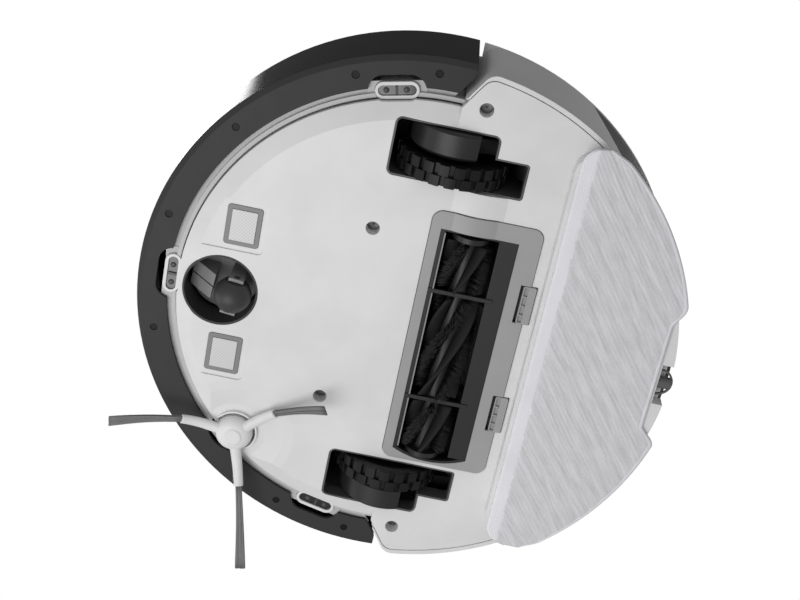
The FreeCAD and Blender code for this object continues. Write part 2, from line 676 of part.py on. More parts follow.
def gearbox():
    """Round gear case beside the wheel, with the swing arm in one piece."""
    x0, x1 = GEAR_CASE_X
    r = GEAR_CASE_R
    outline = [(x0, 0), (x0, r - 2.0), (x0 + 2.0, r), (x1 - 1.0, r), (x1, r - 1.0), (x1, 0)]
    drum = revolve_x(outline, WHEEL_Y, WHEEL_R).common(box(0, FAR, -FAR, GEAR_CASE_REAR, 0, FAR))
    side = [(WHEEL_Y, 25), (GEAR_CASE_REAR, 28), (PIVOT_Y, 33), (64, 36), (66, 44), (62, 58), (WHEEL_Y, 57)]
    arm = prism_x(side, x0, x0 + ARM_T)
    axle = rod_x(AXLE_R, WHEEL_X0 + 1.6, x0 + 1, WHEEL_Y, WHEEL_R)
    seat = disc(4.6, SEAT_Z - 3, SEAT_Z, x0 + 5, WHEEL_Y + 1)
    return fuse([drum, arm, axle, seat]).cut(rod_x(PIVOT_R + 0.08, 0, FAR, PIVOT_Y, PIVOT_Z))


def drive_motor():
    can = rod_x(MOTOR_R, WHEEL_X0 + 1, GEAR_CASE_X[0] - 0.1, MOTOR_Y, MOTOR_Z)
    return fuse([can, rod_x(4.0, WHEEL_X0 - 1, WHEEL_X0 + 2, MOTOR_Y, MOTOR_Z)])


def drive_unit():
    return Part.makeCompound([gearbox(), drive_motor()])


def wheel_spring():
    spring = coil(3.2, 2.7, 4, 0.45)
    spring.translate(Vector(GEAR_CASE_X[0] + 5, WHEEL_Y + 1, SEAT_Z + 0.6))
    return spring


# ---- caster -------------------------------------------------------------
def caster_socket():
    cup = disc(CASTER_HOLE_R - 0.2, PLATE_Z + 0.2, 46, CASTER_X, CASTER_Y)
    cup = cup.cut(disc(CASTER_HOLE_R - 1.4, 0, CROWN_Z[1] + 0.5, CASTER_X, CASTER_Y))
    return cup.cut(disc(CASTER_PIN_R + 0.06, 0, 60, CASTER_X, CASTER_Y))


def caster_fork():
    """Crown, swivel pin, two cheeks and the two sloped bands in front of the wheel."""
    x = CASTER_X
    y = CASTER_Y
    crown = disc(CROWN_R, CROWN_Z[0], CROWN_Z[1], x, y)
    pin = disc(CASTER_PIN_R, CROWN_Z[1] - 0.5, 48, x, y)
    snap = disc(4.4, 46.3, 48, x, y)
    slope = [(y - 19.5, 27.5), (y - 4.6, 14.0), (y - 4.6, CROWN_Z[0] + 1), (y - 19.5, CROWN_Z[0] + 1)]
    starts = (x - BAND_W - BAND_GAP / 2, x + BAND_GAP / 2)
    bands = [prism_x(slope, a, a + BAND_W).common(disc(CROWN_R, 0, FAR, x, y)) for a in starts]
    half = CASTER_WHEEL_HALF + 0.5
    axle = y + CASTER_TRAIL
    sides = (x - half - 2.0, x + half)
    cheeks = [box(a, a + 2.0, axle - 4.5, axle + 4.5, 8.0, CROWN_Z[0] + 1) for a in sides]
    fork = fuse([crown, pin, snap] + bands + cheeks)
    fork = fork.cut(rod_x(CASTER_AXLE_R + 0.02, -FAR, FAR, axle, CASTER_WHEEL_R))
    return turned(fork, CASTER_TURN, x, y)


def caster_wheel():
    """A ball-shaped roller, turned from a ring of straight facets."""
    y = CASTER_Y + CASTER_TRAIL
    steps = 12
    bore = CASTER_AXLE_R + 0.1
    profile = [(CASTER_X + CASTER_WHEEL_HALF, bore), (CASTER_X - CASTER_WHEEL_HALF, bore)]
    for i in range(steps + 1):
        across = CASTER_WHEEL_HALF * (2 * i / steps - 1)
        fall = (across / CASTER_WHEEL_HALF) ** 2 * (CASTER_WHEEL_R - CASTER_END_R)
        profile.append((CASTER_X + across, CASTER_WHEEL_R - fall))
    return turned(revolve_x(profile, y, CASTER_WHEEL_R), CASTER_TURN, CASTER_X, CASTER_Y)


def caster_axle():
    half = CASTER_WHEEL_HALF + 2.5
    axle = rod_x(CASTER_AXLE_R, CASTER_X - half, CASTER_X + half, CASTER_Y + CASTER_TRAIL, CASTER_WHEEL_R)
    return turned(axle, CASTER_TURN, CASTER_X, CASTER_Y)


# ---- side brush ---------------------------------------------------------
def side_arm(r0, r1, z0, z1, thick0, thick1, degrees):
    run = Vector(r1 - r0, 0, z1 - z0)
    arm = Part.makeCone(thick0, thick1, run.Length, Vector(SIDE_X + r0, SIDE_Y, z0), run)
    return turned(arm, degrees, SIDE_X, SIDE_Y)


def side_brush_hub():
    dome = revolve_z([(0, 7.5), (5.3, 7.5), (8.5, 8.3), (10.6, 10.0), (SIDE_HUB_R, 12.5),
                      (SIDE_HUB_R, 18.5), (0, 18.5)], SIDE_X, SIDE_Y)
    arms = [side_arm(7.0, SIDE_SLEEVE_R, 10.6, 7.2, 3.4, 2.7, angle) for angle in SIDE_ARMS_DEG]
    socket = disc(2.05, 11, 30, SIDE_X, SIDE_Y)
    return fuse([dome] + arms).cut(socket)


def side_brush_bristles():
    start = SIDE_SLEEVE_R + 0.1
    bundles = [side_arm(start, SIDE_TIP_R, 6.9, 2.2, 2.0, 1.5, angle) for angle in SIDE_ARMS_DEG]
    return Part.makeCompound(bundles)


def side_brush_cap():
    return disc(5.0, 6.7, 7.45, SIDE_X, SIDE_Y)


def side_gearbox_space(grow):
    mx, my = SIDE_MOTOR
    length = math.hypot(mx - SIDE_X, my - SIDE_Y)
    lean = math.degrees(math.atan2(my - SIDE_Y, mx - SIDE_X))
    web = box(SIDE_X, SIDE_X + length, SIDE_Y - 6.8 - grow, SIDE_Y + 6.8 + grow, 21 - grow, 34)
    near = disc(7.0 + grow, 21 - grow, 34, SIDE_X, SIDE_Y)
    far = disc(14.0 + grow, 21 - grow, 34, mx, my)
    return fuse([turned(web, lean, SIDE_X, SIDE_Y), near, far])


def side_brush_motor():
    mx, my = SIDE_MOTOR
    can = disc(MOTOR_R, 33.9, 56, mx, my)
    shaft = disc(2.0, 12, 22, SIDE_X, SIDE_Y)
    return fuse([side_gearbox_space(0.0), can, shaft])


# ---- main brush ---------------------------------------------------------
def cover_window(grow, z0, z1):
    """The cover's window; its right end bows outwards."""
    x0, x1, y0, y1 = COVER_WINDOW
    middle = (y0 + y1) / 2
    bow = Part.Arc(Vector(x0 - grow, y1 + grow, z0), Vector(x0 - grow - WINDOW_BOW, middle, z0),
                   Vector(x0 - grow, y0 - grow, z0)).toShape()
    rest = Part.makePolygon([Vector(x0 - grow, y0 - grow, z0), Vector(x1 + grow, y0 - grow, z0),
                             Vector(x1 + grow, y1 + grow, z0), Vector(x0 - grow, y1 + grow, z0)])
    return Part.Face(Part.Wire([bow] + rest.Edges)).extrude(Vector(0, 0, z1 - z0))


def brush_cover():
    x0, x1, y0, y1 = COVER_BOX
    frame = rounded_box(x0, x1, y0, y1, COVER_LOW, COVER_LOW + COVER_THICK, 6.2)
    bulge = rod_x(BULGE_R + 0.6, COVER_WINDOW[1], x1, BULGE_Y, PLATE_Z - 2.2 + BULGE_R)
    bulge = bulge.common(box(x0, x1, y0, y1, 0, COVER_LOW + COVER_THICK))
    frame = fuse([frame, bulge]).cut(cover_window(0, 0, 40))
    for low, high in LATCH_X:
        frame = frame.cut(box(low - 0.2, high + 0.2, LATCH_Y[0] - 1.8, y1 + 1, 0, 40))
    return frame


def brush_guard():
    """Black lining of the window, with its ribs and the wide strip behind the brush."""
    a, b, c, d = COVER_WINDOW
    low = COVER_LOW + 0.5
    lining = cover_window(-0.1, low, low + LINER_H).cut(cover_window(-1.3, 0, 40))
    strip = box(a + 0.1, b - 0.1, STRIP_Y, d - 0.1, low, low + 1.8)
    front = box(a + 1, b - 1, c + 0.1, c + 2.4, low, low + 1.4)
    ribs = [box(x - RIB_W / 2, x + RIB_W / 2, c + 0.1, STRIP_Y + 4, low - 0.7, low + 1.2) for x in RIBS_X]
    return fuse([lining, strip, front] + ribs)


def wiper_strip():
    """Thin pale rubber blade along the front edge of the window, split by the guard's ribs."""
    a, b, c = COVER_WINDOW[:3]
    edges = [a + 2.0]
    for x in RIBS_X:
        edges += [x - RIB_W / 2 - 0.2, x + RIB_W / 2 + 0.2]
    edges.append(b - 2.0)
    y0 = c + 2.5
    z0 = COVER_LOW - 0.4
    spans = zip(edges[0::2], edges[1::2])
    return Part.makeCompound([box(x0, x1, y0, y0 + 0.8, z0, z0 + 2.4) for x0, x1 in spans])


def cover_latch(index):
    """A finger recess with small ridges in front and a raised bar behind."""
    x0, x1 = LATCH_X[index]
    y0, y1 = LATCH_Y
    tab = rounded_box(x0, x1, y0, y1 - 0.2, COVER_LOW - 0.5, COVER_LOW + 2.0, 1.2)
    z1 = COVER_LOW + 0.9
    ridges = [box(x, x + 0.8, y0 + 0.6, y0 + 3.0, 0, z1) for x in (x0 + 5.0, x0 + 11.0, x0 + 17.0)]
    recess = box(x0 + 0.8, x1 - 0.8, y0 + 0.8, y0 + 3.2, 0, z1)
    return tab.cut(recess.cut(Part.makeCompound(ridges)))


def brush_chamber():
    low = PLATE_Z + PLATE_T + 0.1
    x0, x1 = CHAMBER_X
    out0 = x0 - CHAMBER_END_T
    out1 = x1 + CHAMBER_END_T
    tunnel = rod_x(CHAMBER_R + 2.2, out0, out1, BRUSH_Y, BRUSH_Z)
    tunnel = tunnel.common(box(-FAR, FAR, -FAR, FAR, low, FAR))
    base = box(out0, out1, 1.0, 70.0, low, low + 2)
    drum = rod_x(CHAMBER_R, x0, x1, BRUSH_Y, BRUSH_Z)
    mouth = box(x0, x1, BRUSH_Y - CHAMBER_R, BRUSH_Y + CHAMBER_R, 0, BRUSH_Z)
    a, b = DUCT_X
    c, d = DUCT_Z
    snout = box(a - 2, b + 2, BRUSH_Y + 6, BIN_FRONT - 1.1, c - 2, d + 2)
    duct = box(a, b, BRUSH_Y, FAR, c, d)
    ends = [rod_x(BRUSH_STUB_R + 0.06, x - 1.5, x + 6, BRUSH_Y, BRUSH_Z) for x in (x0, x1)]
    return fuse([tunnel, base, snout]).cut(Part.makeCompound([drum, mouth, duct] + ends))


def main_brush_core():
    core = rod_x(BRUSH_CORE_R, BRUSH_CAPS_X[0][1] + 0.1, BRUSH_CAPS_X[1][0] - 0.1, BRUSH_Y, BRUSH_Z)
    stub = rod_x(BRUSH_STUB_R, CHAMBER_X[0] + 0.5, BRUSH_GEAR_X[0] + 6.8, BRUSH_Y, BRUSH_Z)
    return fuse([core, stub])


def brush_zones():
    """Stretches of the roller that carry bristles, clear of the guard's ribs."""
    edges = [BRUSH_CAPS_X[0][1] + 1.5]
    for x in RIBS_X:
        edges += [x - RIB_W / 2 - 1.6, x + RIB_W / 2 + 1.6]
    edges.append(BRUSH_CAPS_X[1][0] - 1.5)
    return list(zip(edges[0::2], edges[1::2]))


def main_brush_bristles():
    solids = []
    for x0, x1 in brush_zones():
        sleeve = rod_x(BRUSH_TIP_R, x0, x1, BRUSH_Y, BRUSH_Z)
        solids.append(sleeve.cut(rod_x(BRUSH_CORE_R + 0.02, x0 - 1, x1 + 1, BRUSH_Y, BRUSH_Z)))
    return Part.makeCompound(solids)


def brush_end_caps():
    caps = []
    for x0, x1 in BRUSH_CAPS_X:
        cap = rod_x(BRUSH_CAP_R, x0, x1, BRUSH_Y, BRUSH_Z)
        caps.append(cap.cut(rod_x(BRUSH_STUB_R + 0.04, x0 - 1, x1 + 1, BRUSH_Y, BRUSH_Z)))
    return Part.makeCompound(caps)


def brush_gearbox():
    x0, x1 = BRUSH_GEAR_X
    case = box(x0, x1, 10.0, 62.0, PLATE_Z + PLATE_T + 0.1, 70)
    return case.cut(rod_x(BRUSH_STUB_R + 0.06, x0 - 1, x0 + 7.5, BRUSH_Y, BRUSH_Z))


def brush_motor():
    y, z = BRUSH_MOTOR
    x0, x1 = BRUSH_MOTOR_X
    return fuse([rod_x(MOTOR_R, x0, x1, y, z), rod_x(2.0, x0 - 6, x0 + 2, y, z)])


# ---- dustbin ------------------------------------------------------------
def dustbin_body():
    top = COVER_Z - 0.6
    outer = disc(BIN_R, BIN_LOW, top).common(bin_region(0, BIN_LOW, top))
    inner = disc(BIN_R - BIN_WALL, BIN_LOW + BIN_WALL, FAR)
    inner = inner.common(bin_region(-BIN_WALL, BIN_LOW + BIN_WALL, FAR))
    shell = outer.cut(inner)
    inlet = box(DUCT_X[0] + 2, DUCT_X[1] - 2, BIN_FRONT - 1, BIN_FRONT + 3, DUCT_Z[0] + 1, DUCT_Z[1] - 1)
    outlet = box(FILTER_X[0], FILTER_X[1], BIN_FRONT - 1, BIN_FRONT + 3, FILTER_Z[0], FILTER_Z[1])
    z0, z1 = BIN_BUTTON_Z
    button = box(-BIN_BUTTON_HALF - 0.4, BIN_BUTTON_HALF + 0.4, BIN_R - 20, FAR, z0 - 0.4, z1 + 0.4)
    return shell.cut(Part.makeCompound([inlet, outlet, button]))


def dustbin_lid():
    z1 = COVER_Z - 0.8
    lid = disc(BIN_R - BIN_WALL - 0.3, z1 - 2.2, z1)
    lid = lid.common(bin_region(-BIN_WALL - 0.3, z1 - 2.2, z1))
    return lid.cut(box(-BIN_BUTTON_HALF - 1, BIN_BUTTON_HALF + 1, BIN_R - 22, FAR, 0, FAR))


def dust_filter():
    """Pleated paper held in a frame, in front of the bin's outlet."""
    x0, x1 = FILTER_X
    z0, z1 = FILTER_Z
    y0, y1 = FILTER_Y
    paper = box(x0 + 0.5, x1 - 0.5, y0 + 0.2, y1, z0 + 0.5, z1 - 0.5)
    pleats = [box(x0 + 2.5 + 3.4 * i, x0 + 4.1 + 3.4 * i, y0 + 2.8, y1 + 1, z0, z1) for i in range(12)]
    frame = box(x0 - 2.5, x1 + 2.5, y0, y1, z0 - 3, z1 + 3)
    frame = frame.cut(box(x0 + 0.4, x1 - 0.4, y0 - 1, y1 + 1, z0 + 0.4, z1 - 0.4))
    return Part.makeCompound([frame, paper.cut(Part.makeCompound(pleats))])


def release_button():
    z0, z1 = BIN_BUTTON_Z
    return box(-BIN_BUTTON_HALF, BIN_BUTTON_HALF, 150, FAR, z0, z1).common(disc(BIN_R - 0.2, 0, FAR))


# ---- mop and water tank --------------------------------------------------
def near(edges, x, y):
    return [e for e in edges if math.hypot(e.CenterOfMass.x - x, e.CenterOfMass.y - y) < 1.0]


def crescent(radius, y_front, sides, z0, z1):
    """The mop's outline: straight in front, round behind, with rounded corners."""
    solid = disc(radius, z0, z1).common(box(sides[0], sides[1], y_front, FAR, z0, z1))
    corners = [near(upright_edges(solid), x, y_front) for x in sides]
    solid = solid.makeFillet(MOP_FRONT_FILLET, corners[0] + corners[1])
    corners = [near(upright_edges(solid), x, math.sqrt(radius ** 2 - x ** 2)) for x in sides]
    return solid.makeFillet(MOP_REAR_FILLET, corners[0] + corners[1])


def water_tank():
    z0, z1 = TANK_Z
    tank = crescent(TANK_R, TANK_Y, TANK_SIDES, z0, z1)
    inner = disc(TANK_R - 14, z0 + TANK_T, z1 - TANK_T)
    inner = inner.common(box(TANK_SIDES[0] + 16, TANK_SIDES[1] - 16, TANK_Y + 8, FAR, 0, FAR))
    recess = box(-13, 13, 153.5, FAR, 0, FAR)
    port = rod_y(2.9, 140, 160, 0, (z0 + z1) / 2)
    rails = [box(x - RAIL_HALF, x + RAIL_HALF, RAIL_Y[0], RAIL_Y[1], z1 - 0.5, PLATE_Z + 2.2)
             for x in RAILS_X]
    return fuse([tank] + rails).cut(Part.makeCompound([inner, recess, port]))


def mop_pad():
    z1 = TANK_Z[0]
    pad = crescent(MOP_R, MOP_Y, MOP_SIDES, 0, z1 - 0.05)
    x0, x1 = NOTCH_X
    notch = rounded_box(x0, x1, NOTCH_Y, FAR, -1, z1 + 1, 8.0)
    return pad.cut(notch)


def tank_plug():
    """Rubber stopper of the water tank, moulded with its small pull loop."""
    z = sum(TANK_Z) / 2
    head = rod_y(3.6, 153.8, 162.3, 0, z)
    rims = [e for e in head.Edges if e.Closed]
    loop = ring(8.6, 7.4, z - 0.6, z + 0.6, 0, 154.4).common(box(-9, 9, 154.4, FAR, 0, FAR))
    return fuse([head.makeFillet(1.0, rims), rod_y(2.8, 147.5, 154.5, 0, z), loop])


# ---- electrics ----------------------------------------------------------
def battery_pack():
    """A tray with four round cells lying across the body."""
    low = DECK_Z + DECK_T + 0.1
    x0, x1 = BATTERY_X
    y0, y1 = BATTERY_Y
    tray = box(x0, x1, y0, y1, low + 5, BATTERY_TOP)
    feet = [box(x, x + 6, y, y + 6, low, low + 6) for x in (x0, x1 - 6) for y in (y0, y1 - 6)]
    cells = [rod_x(CELL_R, x0 + 4, x1 - 4, y, z) for y, z in CELLS]
    room = [rod_x(CELL_R + 0.2, x0 + 3.6, x1 - 3.6, y, z) for y, z in CELLS]
    tray = fuse([tray] + feet).cut(Part.makeCompound(room))
    return Part.makeCompound([tray] + cells)


def circuit_boards():
    """The main board on its posts and the small board under the top buttons."""
    x0, x1, y0, y1 = MAIN_BOARD
    z = MAIN_BOARD_Z
    pcb = box(x0, x1, y0, y1, z, z + BOARD_T)
    chips = [box(x, x + a, y, y + b, z + BOARD_T - 0.1, z + BOARD_T + c) for x, y, a, b, c in CHIPS]
    low = DECK_Z + DECK_T + 0.1
    posts = [disc(2.4, low, z + 0.5, x, y) for x in (x0 + 4, x1 - 4) for y in (y0 + 4, y1 - 4)]
    z = COVER_Z - 6.7
    button_board = box(-14, 14, BUTTON_Y[0] - 14, BUTTON_Y[1] + 12, z, z + BOARD_T)
    switches = [disc(3.2, z + BOARD_T - 0.1, z + BOARD_T + 1.5, 0, y) for y in BUTTON_Y]
    return Part.makeCompound([fuse([pcb] + chips + posts), fuse([button_board] + switches)])


def fan_housing():
    x, y = FAN
    case = disc(FAN_R, FAN_Z, FAN_TOP, x, y)
    room = disc(FAN_R - 2.2, FAN_Z + 2, FAN_TOP - 1.8, x, y)
    inlet = disc(11, FAN_TOP - 3, FAN_TOP + 1, x, y)
    outlet = box(x - FAN_R, x - 10, y + 8, y + 30, FAN_Z + 4.5, FAN_TOP - 6)
    return case.cut(Part.makeCompound([room, inlet, outlet]))


def fan_motor():
    x, y = FAN
    shaft = disc(1.5, IMPELLER_Z - 1.3, IMPELLER_Z + 8.8, x, y)
    return fuse([disc(12.5, FAN_Z + 2.1, IMPELLER_Z - 1.2, x, y), shaft])


def fan_impeller():
    x, y = FAN
    plate = disc(22, IMPELLER_Z, IMPELLER_Z + 1.4, x, y)
    hub = disc(5.0, IMPELLER_Z + 1.3, IMPELLER_Z + 9.3, x, y)
    blade = box(x + 4, x + 21.5, y - 0.6, y + 0.6, IMPELLER_Z + 1.3, IMPELLER_Z + 8.3)
    blades = [turned(blade, 40.0 * i, x, y) for i in range(9)]
    return fuse([plate, hub] + blades).cut(disc(1.55, 0, FAR, x, y))


# ---- every node ---------------------------------------------------------
def build_nodes():
    nodes = {
        "bottom_plate": bottom_plate(),
        "bottom_screws": bottom_screws(),
        "side_panels": both_sides(left_side_panel()),
        "wheel_housings": both_sides(wheel_housing()),
        "suspension_pins": both_sides(suspension_pin()),
        "middle_frame": middle_frame(),
        "lower_lip": lower_lip(),
        "top_cover": top_cover(),
        "top_panel": top_panel(),
        "power_button": top_button(BUTTON_Y[0]),
        "home_button": top_button(BUTTON_Y[1]),
        "infrared_window": ir_window(),
        "bumper_shell": bumper_shell(),
        "bumper_ring": bumper_ring(),
        "bumper_screws": bumper_screws(),
        "bumper_switches": bumper_switches(),
        "bumper_springs": bumper_springs(),
        "cliff_sensor_bezels": sensor_bezels(),
        "cliff_sensor_windows": sensor_windows(),
        "charging_frames": charging_frames(),
        "charging_contacts": charging_contacts(),
        "caster_socket": caster_socket(),
        "caster_fork": caster_fork(),
        "caster_wheel": caster_wheel(),
        "caster_axle": caster_axle(),
        "side_brush_hub": side_brush_hub(),
        "side_brush_bristles": side_brush_bristles(),
        "side_brush_cap": side_brush_cap(),
        "side_brush_motor": side_brush_motor(),
        "brush_cover": brush_cover(),
        "brush_guard": brush_guard(),
        "wiper_strip": wiper_strip(),
        "left_cover_latch": cover_latch(1),
        "right_cover_latch": cover_latch(0),
        "brush_chamber": brush_chamber(),
        "main_brush_core": main_brush_core(),
        "main_brush_bristles": main_brush_bristles(),
        "main_brush_caps": brush_end_caps(),
        "brush_gearbox": brush_gearbox(),
        "brush_motor": brush_motor(),
        "dustbin_body": dustbin_body(),
        "dustbin_lid": dustbin_lid(),
        "dust_filter": dust_filter(),
        "bin_release_button": release_button(),
        "water_tank": water_tank(),
        "mop_pad": mop_pad(),
        "tank_plug": tank_plug(),
        "battery_pack": battery_pack(),
        "circuit_boards": circuit_boards(),
        "fan_housing": fan_housing(),
        "fan_motor": fan_motor(),
        "fan_impeller": fan_impeller(),
    }
    paired = {
        "wheel_hub": wheel_hub(),
        "wheel_tyre": wheel_tyre(),
        "drive_unit": drive_unit(),
        "wheel_spring": wheel_spring(),
    }
    for name, shape in paired.items():
        nodes["left_" + name] = shape
        nodes["right_" + name] = mirrored(shape)
    return nodes


for node, shape in build_nodes().items():
    if not shape.isValid():
        print("invalid:", node)
    print(node, len(shape.Solids), round(shape.Volume / 1000.0, 2), "cm3")
    shape.exportStep("parts/" + node + ".step")
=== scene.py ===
"""Looks of the robot vacuum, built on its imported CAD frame.

Metres, +Z up, -Y forwards.  The photograph looks at the underside from below and from the left.
"""
import json
import math
import random

import bpy
from mathutils import Matrix, Vector, noise


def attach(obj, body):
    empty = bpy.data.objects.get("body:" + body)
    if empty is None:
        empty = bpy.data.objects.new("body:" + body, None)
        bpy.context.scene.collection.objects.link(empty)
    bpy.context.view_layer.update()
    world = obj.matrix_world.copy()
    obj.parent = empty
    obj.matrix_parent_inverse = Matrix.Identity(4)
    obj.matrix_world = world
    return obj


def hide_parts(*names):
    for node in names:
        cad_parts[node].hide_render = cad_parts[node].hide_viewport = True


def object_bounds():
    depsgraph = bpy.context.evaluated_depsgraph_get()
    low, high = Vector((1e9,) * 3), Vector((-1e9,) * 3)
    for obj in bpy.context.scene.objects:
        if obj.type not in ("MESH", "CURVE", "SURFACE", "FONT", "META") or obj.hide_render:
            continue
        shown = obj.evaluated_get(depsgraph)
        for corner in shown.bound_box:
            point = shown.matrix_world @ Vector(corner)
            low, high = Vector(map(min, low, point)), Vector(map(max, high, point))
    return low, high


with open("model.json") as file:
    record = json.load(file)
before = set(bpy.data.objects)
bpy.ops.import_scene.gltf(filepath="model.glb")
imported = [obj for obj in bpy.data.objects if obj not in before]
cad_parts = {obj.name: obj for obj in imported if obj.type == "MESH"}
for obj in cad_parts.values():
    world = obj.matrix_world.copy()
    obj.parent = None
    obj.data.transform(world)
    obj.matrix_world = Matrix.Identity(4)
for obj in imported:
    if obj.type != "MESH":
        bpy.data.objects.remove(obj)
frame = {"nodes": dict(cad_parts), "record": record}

CAD_LOW, CAD_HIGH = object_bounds()
NODES = frame["nodes"]
random.seed(7)
MM = 0.001


# ---- materials ----------------------------------------------------------
METAL_GRAIN = 600.0
METAL_DEPTH = 0.00001
METAL_EDGE = 0.0002
PANEL_RIBS = 95.0
HATCH_LINES = 210.0
HATCH_TURNS = (0.9, -0.6)
STREAK_SIZE = (1 / 60, 1 / 500, 1 / 60)     # metres, along and across the cloth's ribs
STREAK_TURN = -0.644                        # radians from +X


def new_material(name):
    material = bpy.data.materials.new(name)
    material.use_nodes = True
    tree = material.node_tree
    shader = tree.nodes["Principled BSDF"]
    return material, tree, shader


def link(tree, source, target):
    tree.links.new(source, target)


def node(tree, kind, **settings):
    made = tree.nodes.new(kind)
    for key, value in settings.items():
        setattr(made, key, value)
    return made


def object_coords(tree, scale=(1, 1, 1), rotation=(0, 0, 0), kind="POINT"):
    """The piece's own coordinates; "TEXTURE" mapping turns first and then stretches."""
    coords = node(tree, "ShaderNodeTexCoord")
    mapping = node(tree, "ShaderNodeMapping", vector_type=kind)
    mapping.inputs["Scale"].default_value = scale
    mapping.inputs["Rotation"].default_value = rotation
    link(tree, coords.outputs["Object"], mapping.inputs["Vector"])
    return mapping.outputs["Vector"]


def noise_texture(tree, vector, scale, detail=2.0, roughness=0.5):
    texture = node(tree, "ShaderNodeTexNoise")
    texture.inputs["Scale"].default_value = scale
    texture.inputs["Detail"].default_value = detail
    texture.inputs["Roughness"].default_value = roughness
    link(tree, vector, texture.inputs["Vector"])
    return texture.outputs["Fac"]


def ramp(tree, value, stops):
    made = node(tree, "ShaderNodeValToRGB")
    elements = made.color_ramp.elements
    while len(elements) < len(stops):
        elements.new(0.5)
    for element, (position, colour) in zip(elements, stops):
        element.position = position
        element.color = (*colour, 1.0)
    link(tree, value, made.inputs["Fac"])
    return made.outputs["Color"]


def spread(tree, value, low, high):
    made = node(tree, "ShaderNodeMapRange")
    made.inputs["To Min"].default_value = low
    made.inputs["To Max"].default_value = high
    link(tree, value, made.inputs["Value"])
    return made.outputs["Result"]


def bump(tree, height, distance, strength=1.0, normal=None):
    made = node(tree, "ShaderNodeBump")
    made.inputs["Distance"].default_value = distance
    made.inputs["Strength"].default_value = strength
    link(tree, height, made.inputs["Height"])
    if normal is not None:
        link(tree, normal, made.inputs["Normal"])
    return made.outputs["Normal"]


def edge_normal(tree, radius):
    made = node(tree, "ShaderNodeBevel", samples=4)
    made.inputs["Radius"].default_value = radius
    return made.outputs["Normal"]


def srgb(level):
    """Linear value of an 8-bit display level."""
    c = level / 255.0
    return c / 12.92 if c <= 0.04045 else ((c + 0.055) / 1.055) ** 2.4


def grey(level, tint=(1.0, 1.0, 1.0)):
    return tuple(srgb(level) * t for t in tint)


def plastic(name, colour, rough, grain=1400.0, depth=0.00002, mottle=0.04, level=0.5, coat=0.0, bevel=0.0004):
    """Moulded plastic: fine spark grain, slight mottling, varied gloss and softened edges."""
    material, tree, shader = new_material(name)
    vector = object_coords(tree)
    broad = noise_texture(tree, vector, 26.0, 4.0)
    dark = tuple(c * (1 - mottle) for c in colour)
    bright = tuple(min(1.0, c * (1 + mottle)) for c in colour)
    link(tree, ramp(tree, broad, [(0.35, dark), (0.65, bright)]), shader.inputs["Base Color"])
    link(tree, spread(tree, noise_texture(tree, vector, 90.0, 3.0), rough - 0.06, rough + 0.06),
         shader.inputs["Roughness"])
    height = noise_texture(tree, vector, grain, 2.0)
    rounded = edge_normal(tree, bevel)
    link(tree, bump(tree, height, depth, 0.6, rounded), shader.inputs["Normal"])
    shader.inputs["Specular IOR Level"].default_value = level
    shader.inputs["Coat Weight"].default_value = coat
    shader.inputs["Coat Roughness"].default_value = 0.08
    return material


def metal(name, colour, rough):
    """Brushed metal with a fine, uneven grain."""
    material, tree, shader = new_material(name)
    vector = object_coords(tree)
    height = noise_texture(tree, vector, METAL_GRAIN, 3.0)
    dark = tuple(c * 0.85 for c in colour)
    link(tree, ramp(tree, height, [(0.3, dark), (0.7, colour)]), shader.inputs["Base Color"])
    link(tree, spread(tree, height, rough - 0.08, rough + 0.1), shader.inputs["Roughness"])
    rounded = edge_normal(tree, METAL_EDGE)
    link(tree, bump(tree, height, METAL_DEPTH, 0.6, rounded), shader.inputs["Normal"])
    shader.inputs["Metallic"].default_value = 1.0
    return material


def wave(tree, vector, scale, direction="X"):
    texture = node(tree, "ShaderNodeTexWave", bands_direction=direction)
    texture.inputs["Scale"].default_value = scale
    link(tree, vector, texture.inputs["Vector"])
    return texture.outputs["Fac"]


def ribbed_panel(name, colour, rough):
    """Silver-grey moulding with fine level ribs."""
    material, tree, shader = new_material(name)
    vector = object_coords(tree)
    dark = tuple(c * 0.95 for c in colour)
    mottled = noise_texture(tree, vector, 30.0)
    link(tree, ramp(tree, mottled, [(0.3, dark), (0.7, colour)]), shader.inputs["Base Color"])
    ribs = wave(tree, vector, PANEL_RIBS, "Z")
    link(tree, bump(tree, ribs, 0.0003, 0.5, edge_normal(tree, 0.0005)), shader.inputs["Normal"])
    shader.inputs["Roughness"].default_value = rough
    return material


def cross_hatched(name, colour, rough):
    """Nickel-plated spring metal with two crossing sets of fine lines."""
    material, tree, shader = new_material(name)
    first = wave(tree, object_coords(tree, rotation=(0, 0, HATCH_TURNS[0])), HATCH_LINES)
    second = wave(tree, object_coords(tree, rotation=(0, 0, HATCH_TURNS[1])), HATCH_LINES)
    both = node(tree, "ShaderNodeMath", operation="MULTIPLY")
    link(tree, first, both.inputs[0])
    link(tree, second, both.inputs[1])
    height = both.outputs["Value"]
    dark = tuple(c * 0.82 for c in colour)
    link(tree, ramp(tree, height, [(0.0, dark), (0.6, colour)]), shader.inputs["Base Color"])
    link(tree, bump(tree, height, 0.00006, 0.4, edge_normal(tree, 0.0004)), shader.inputs["Normal"])
    shader.inputs["Roughness"].default_value = rough
    shader.inputs["Metallic"].default_value = 0.3
    return material


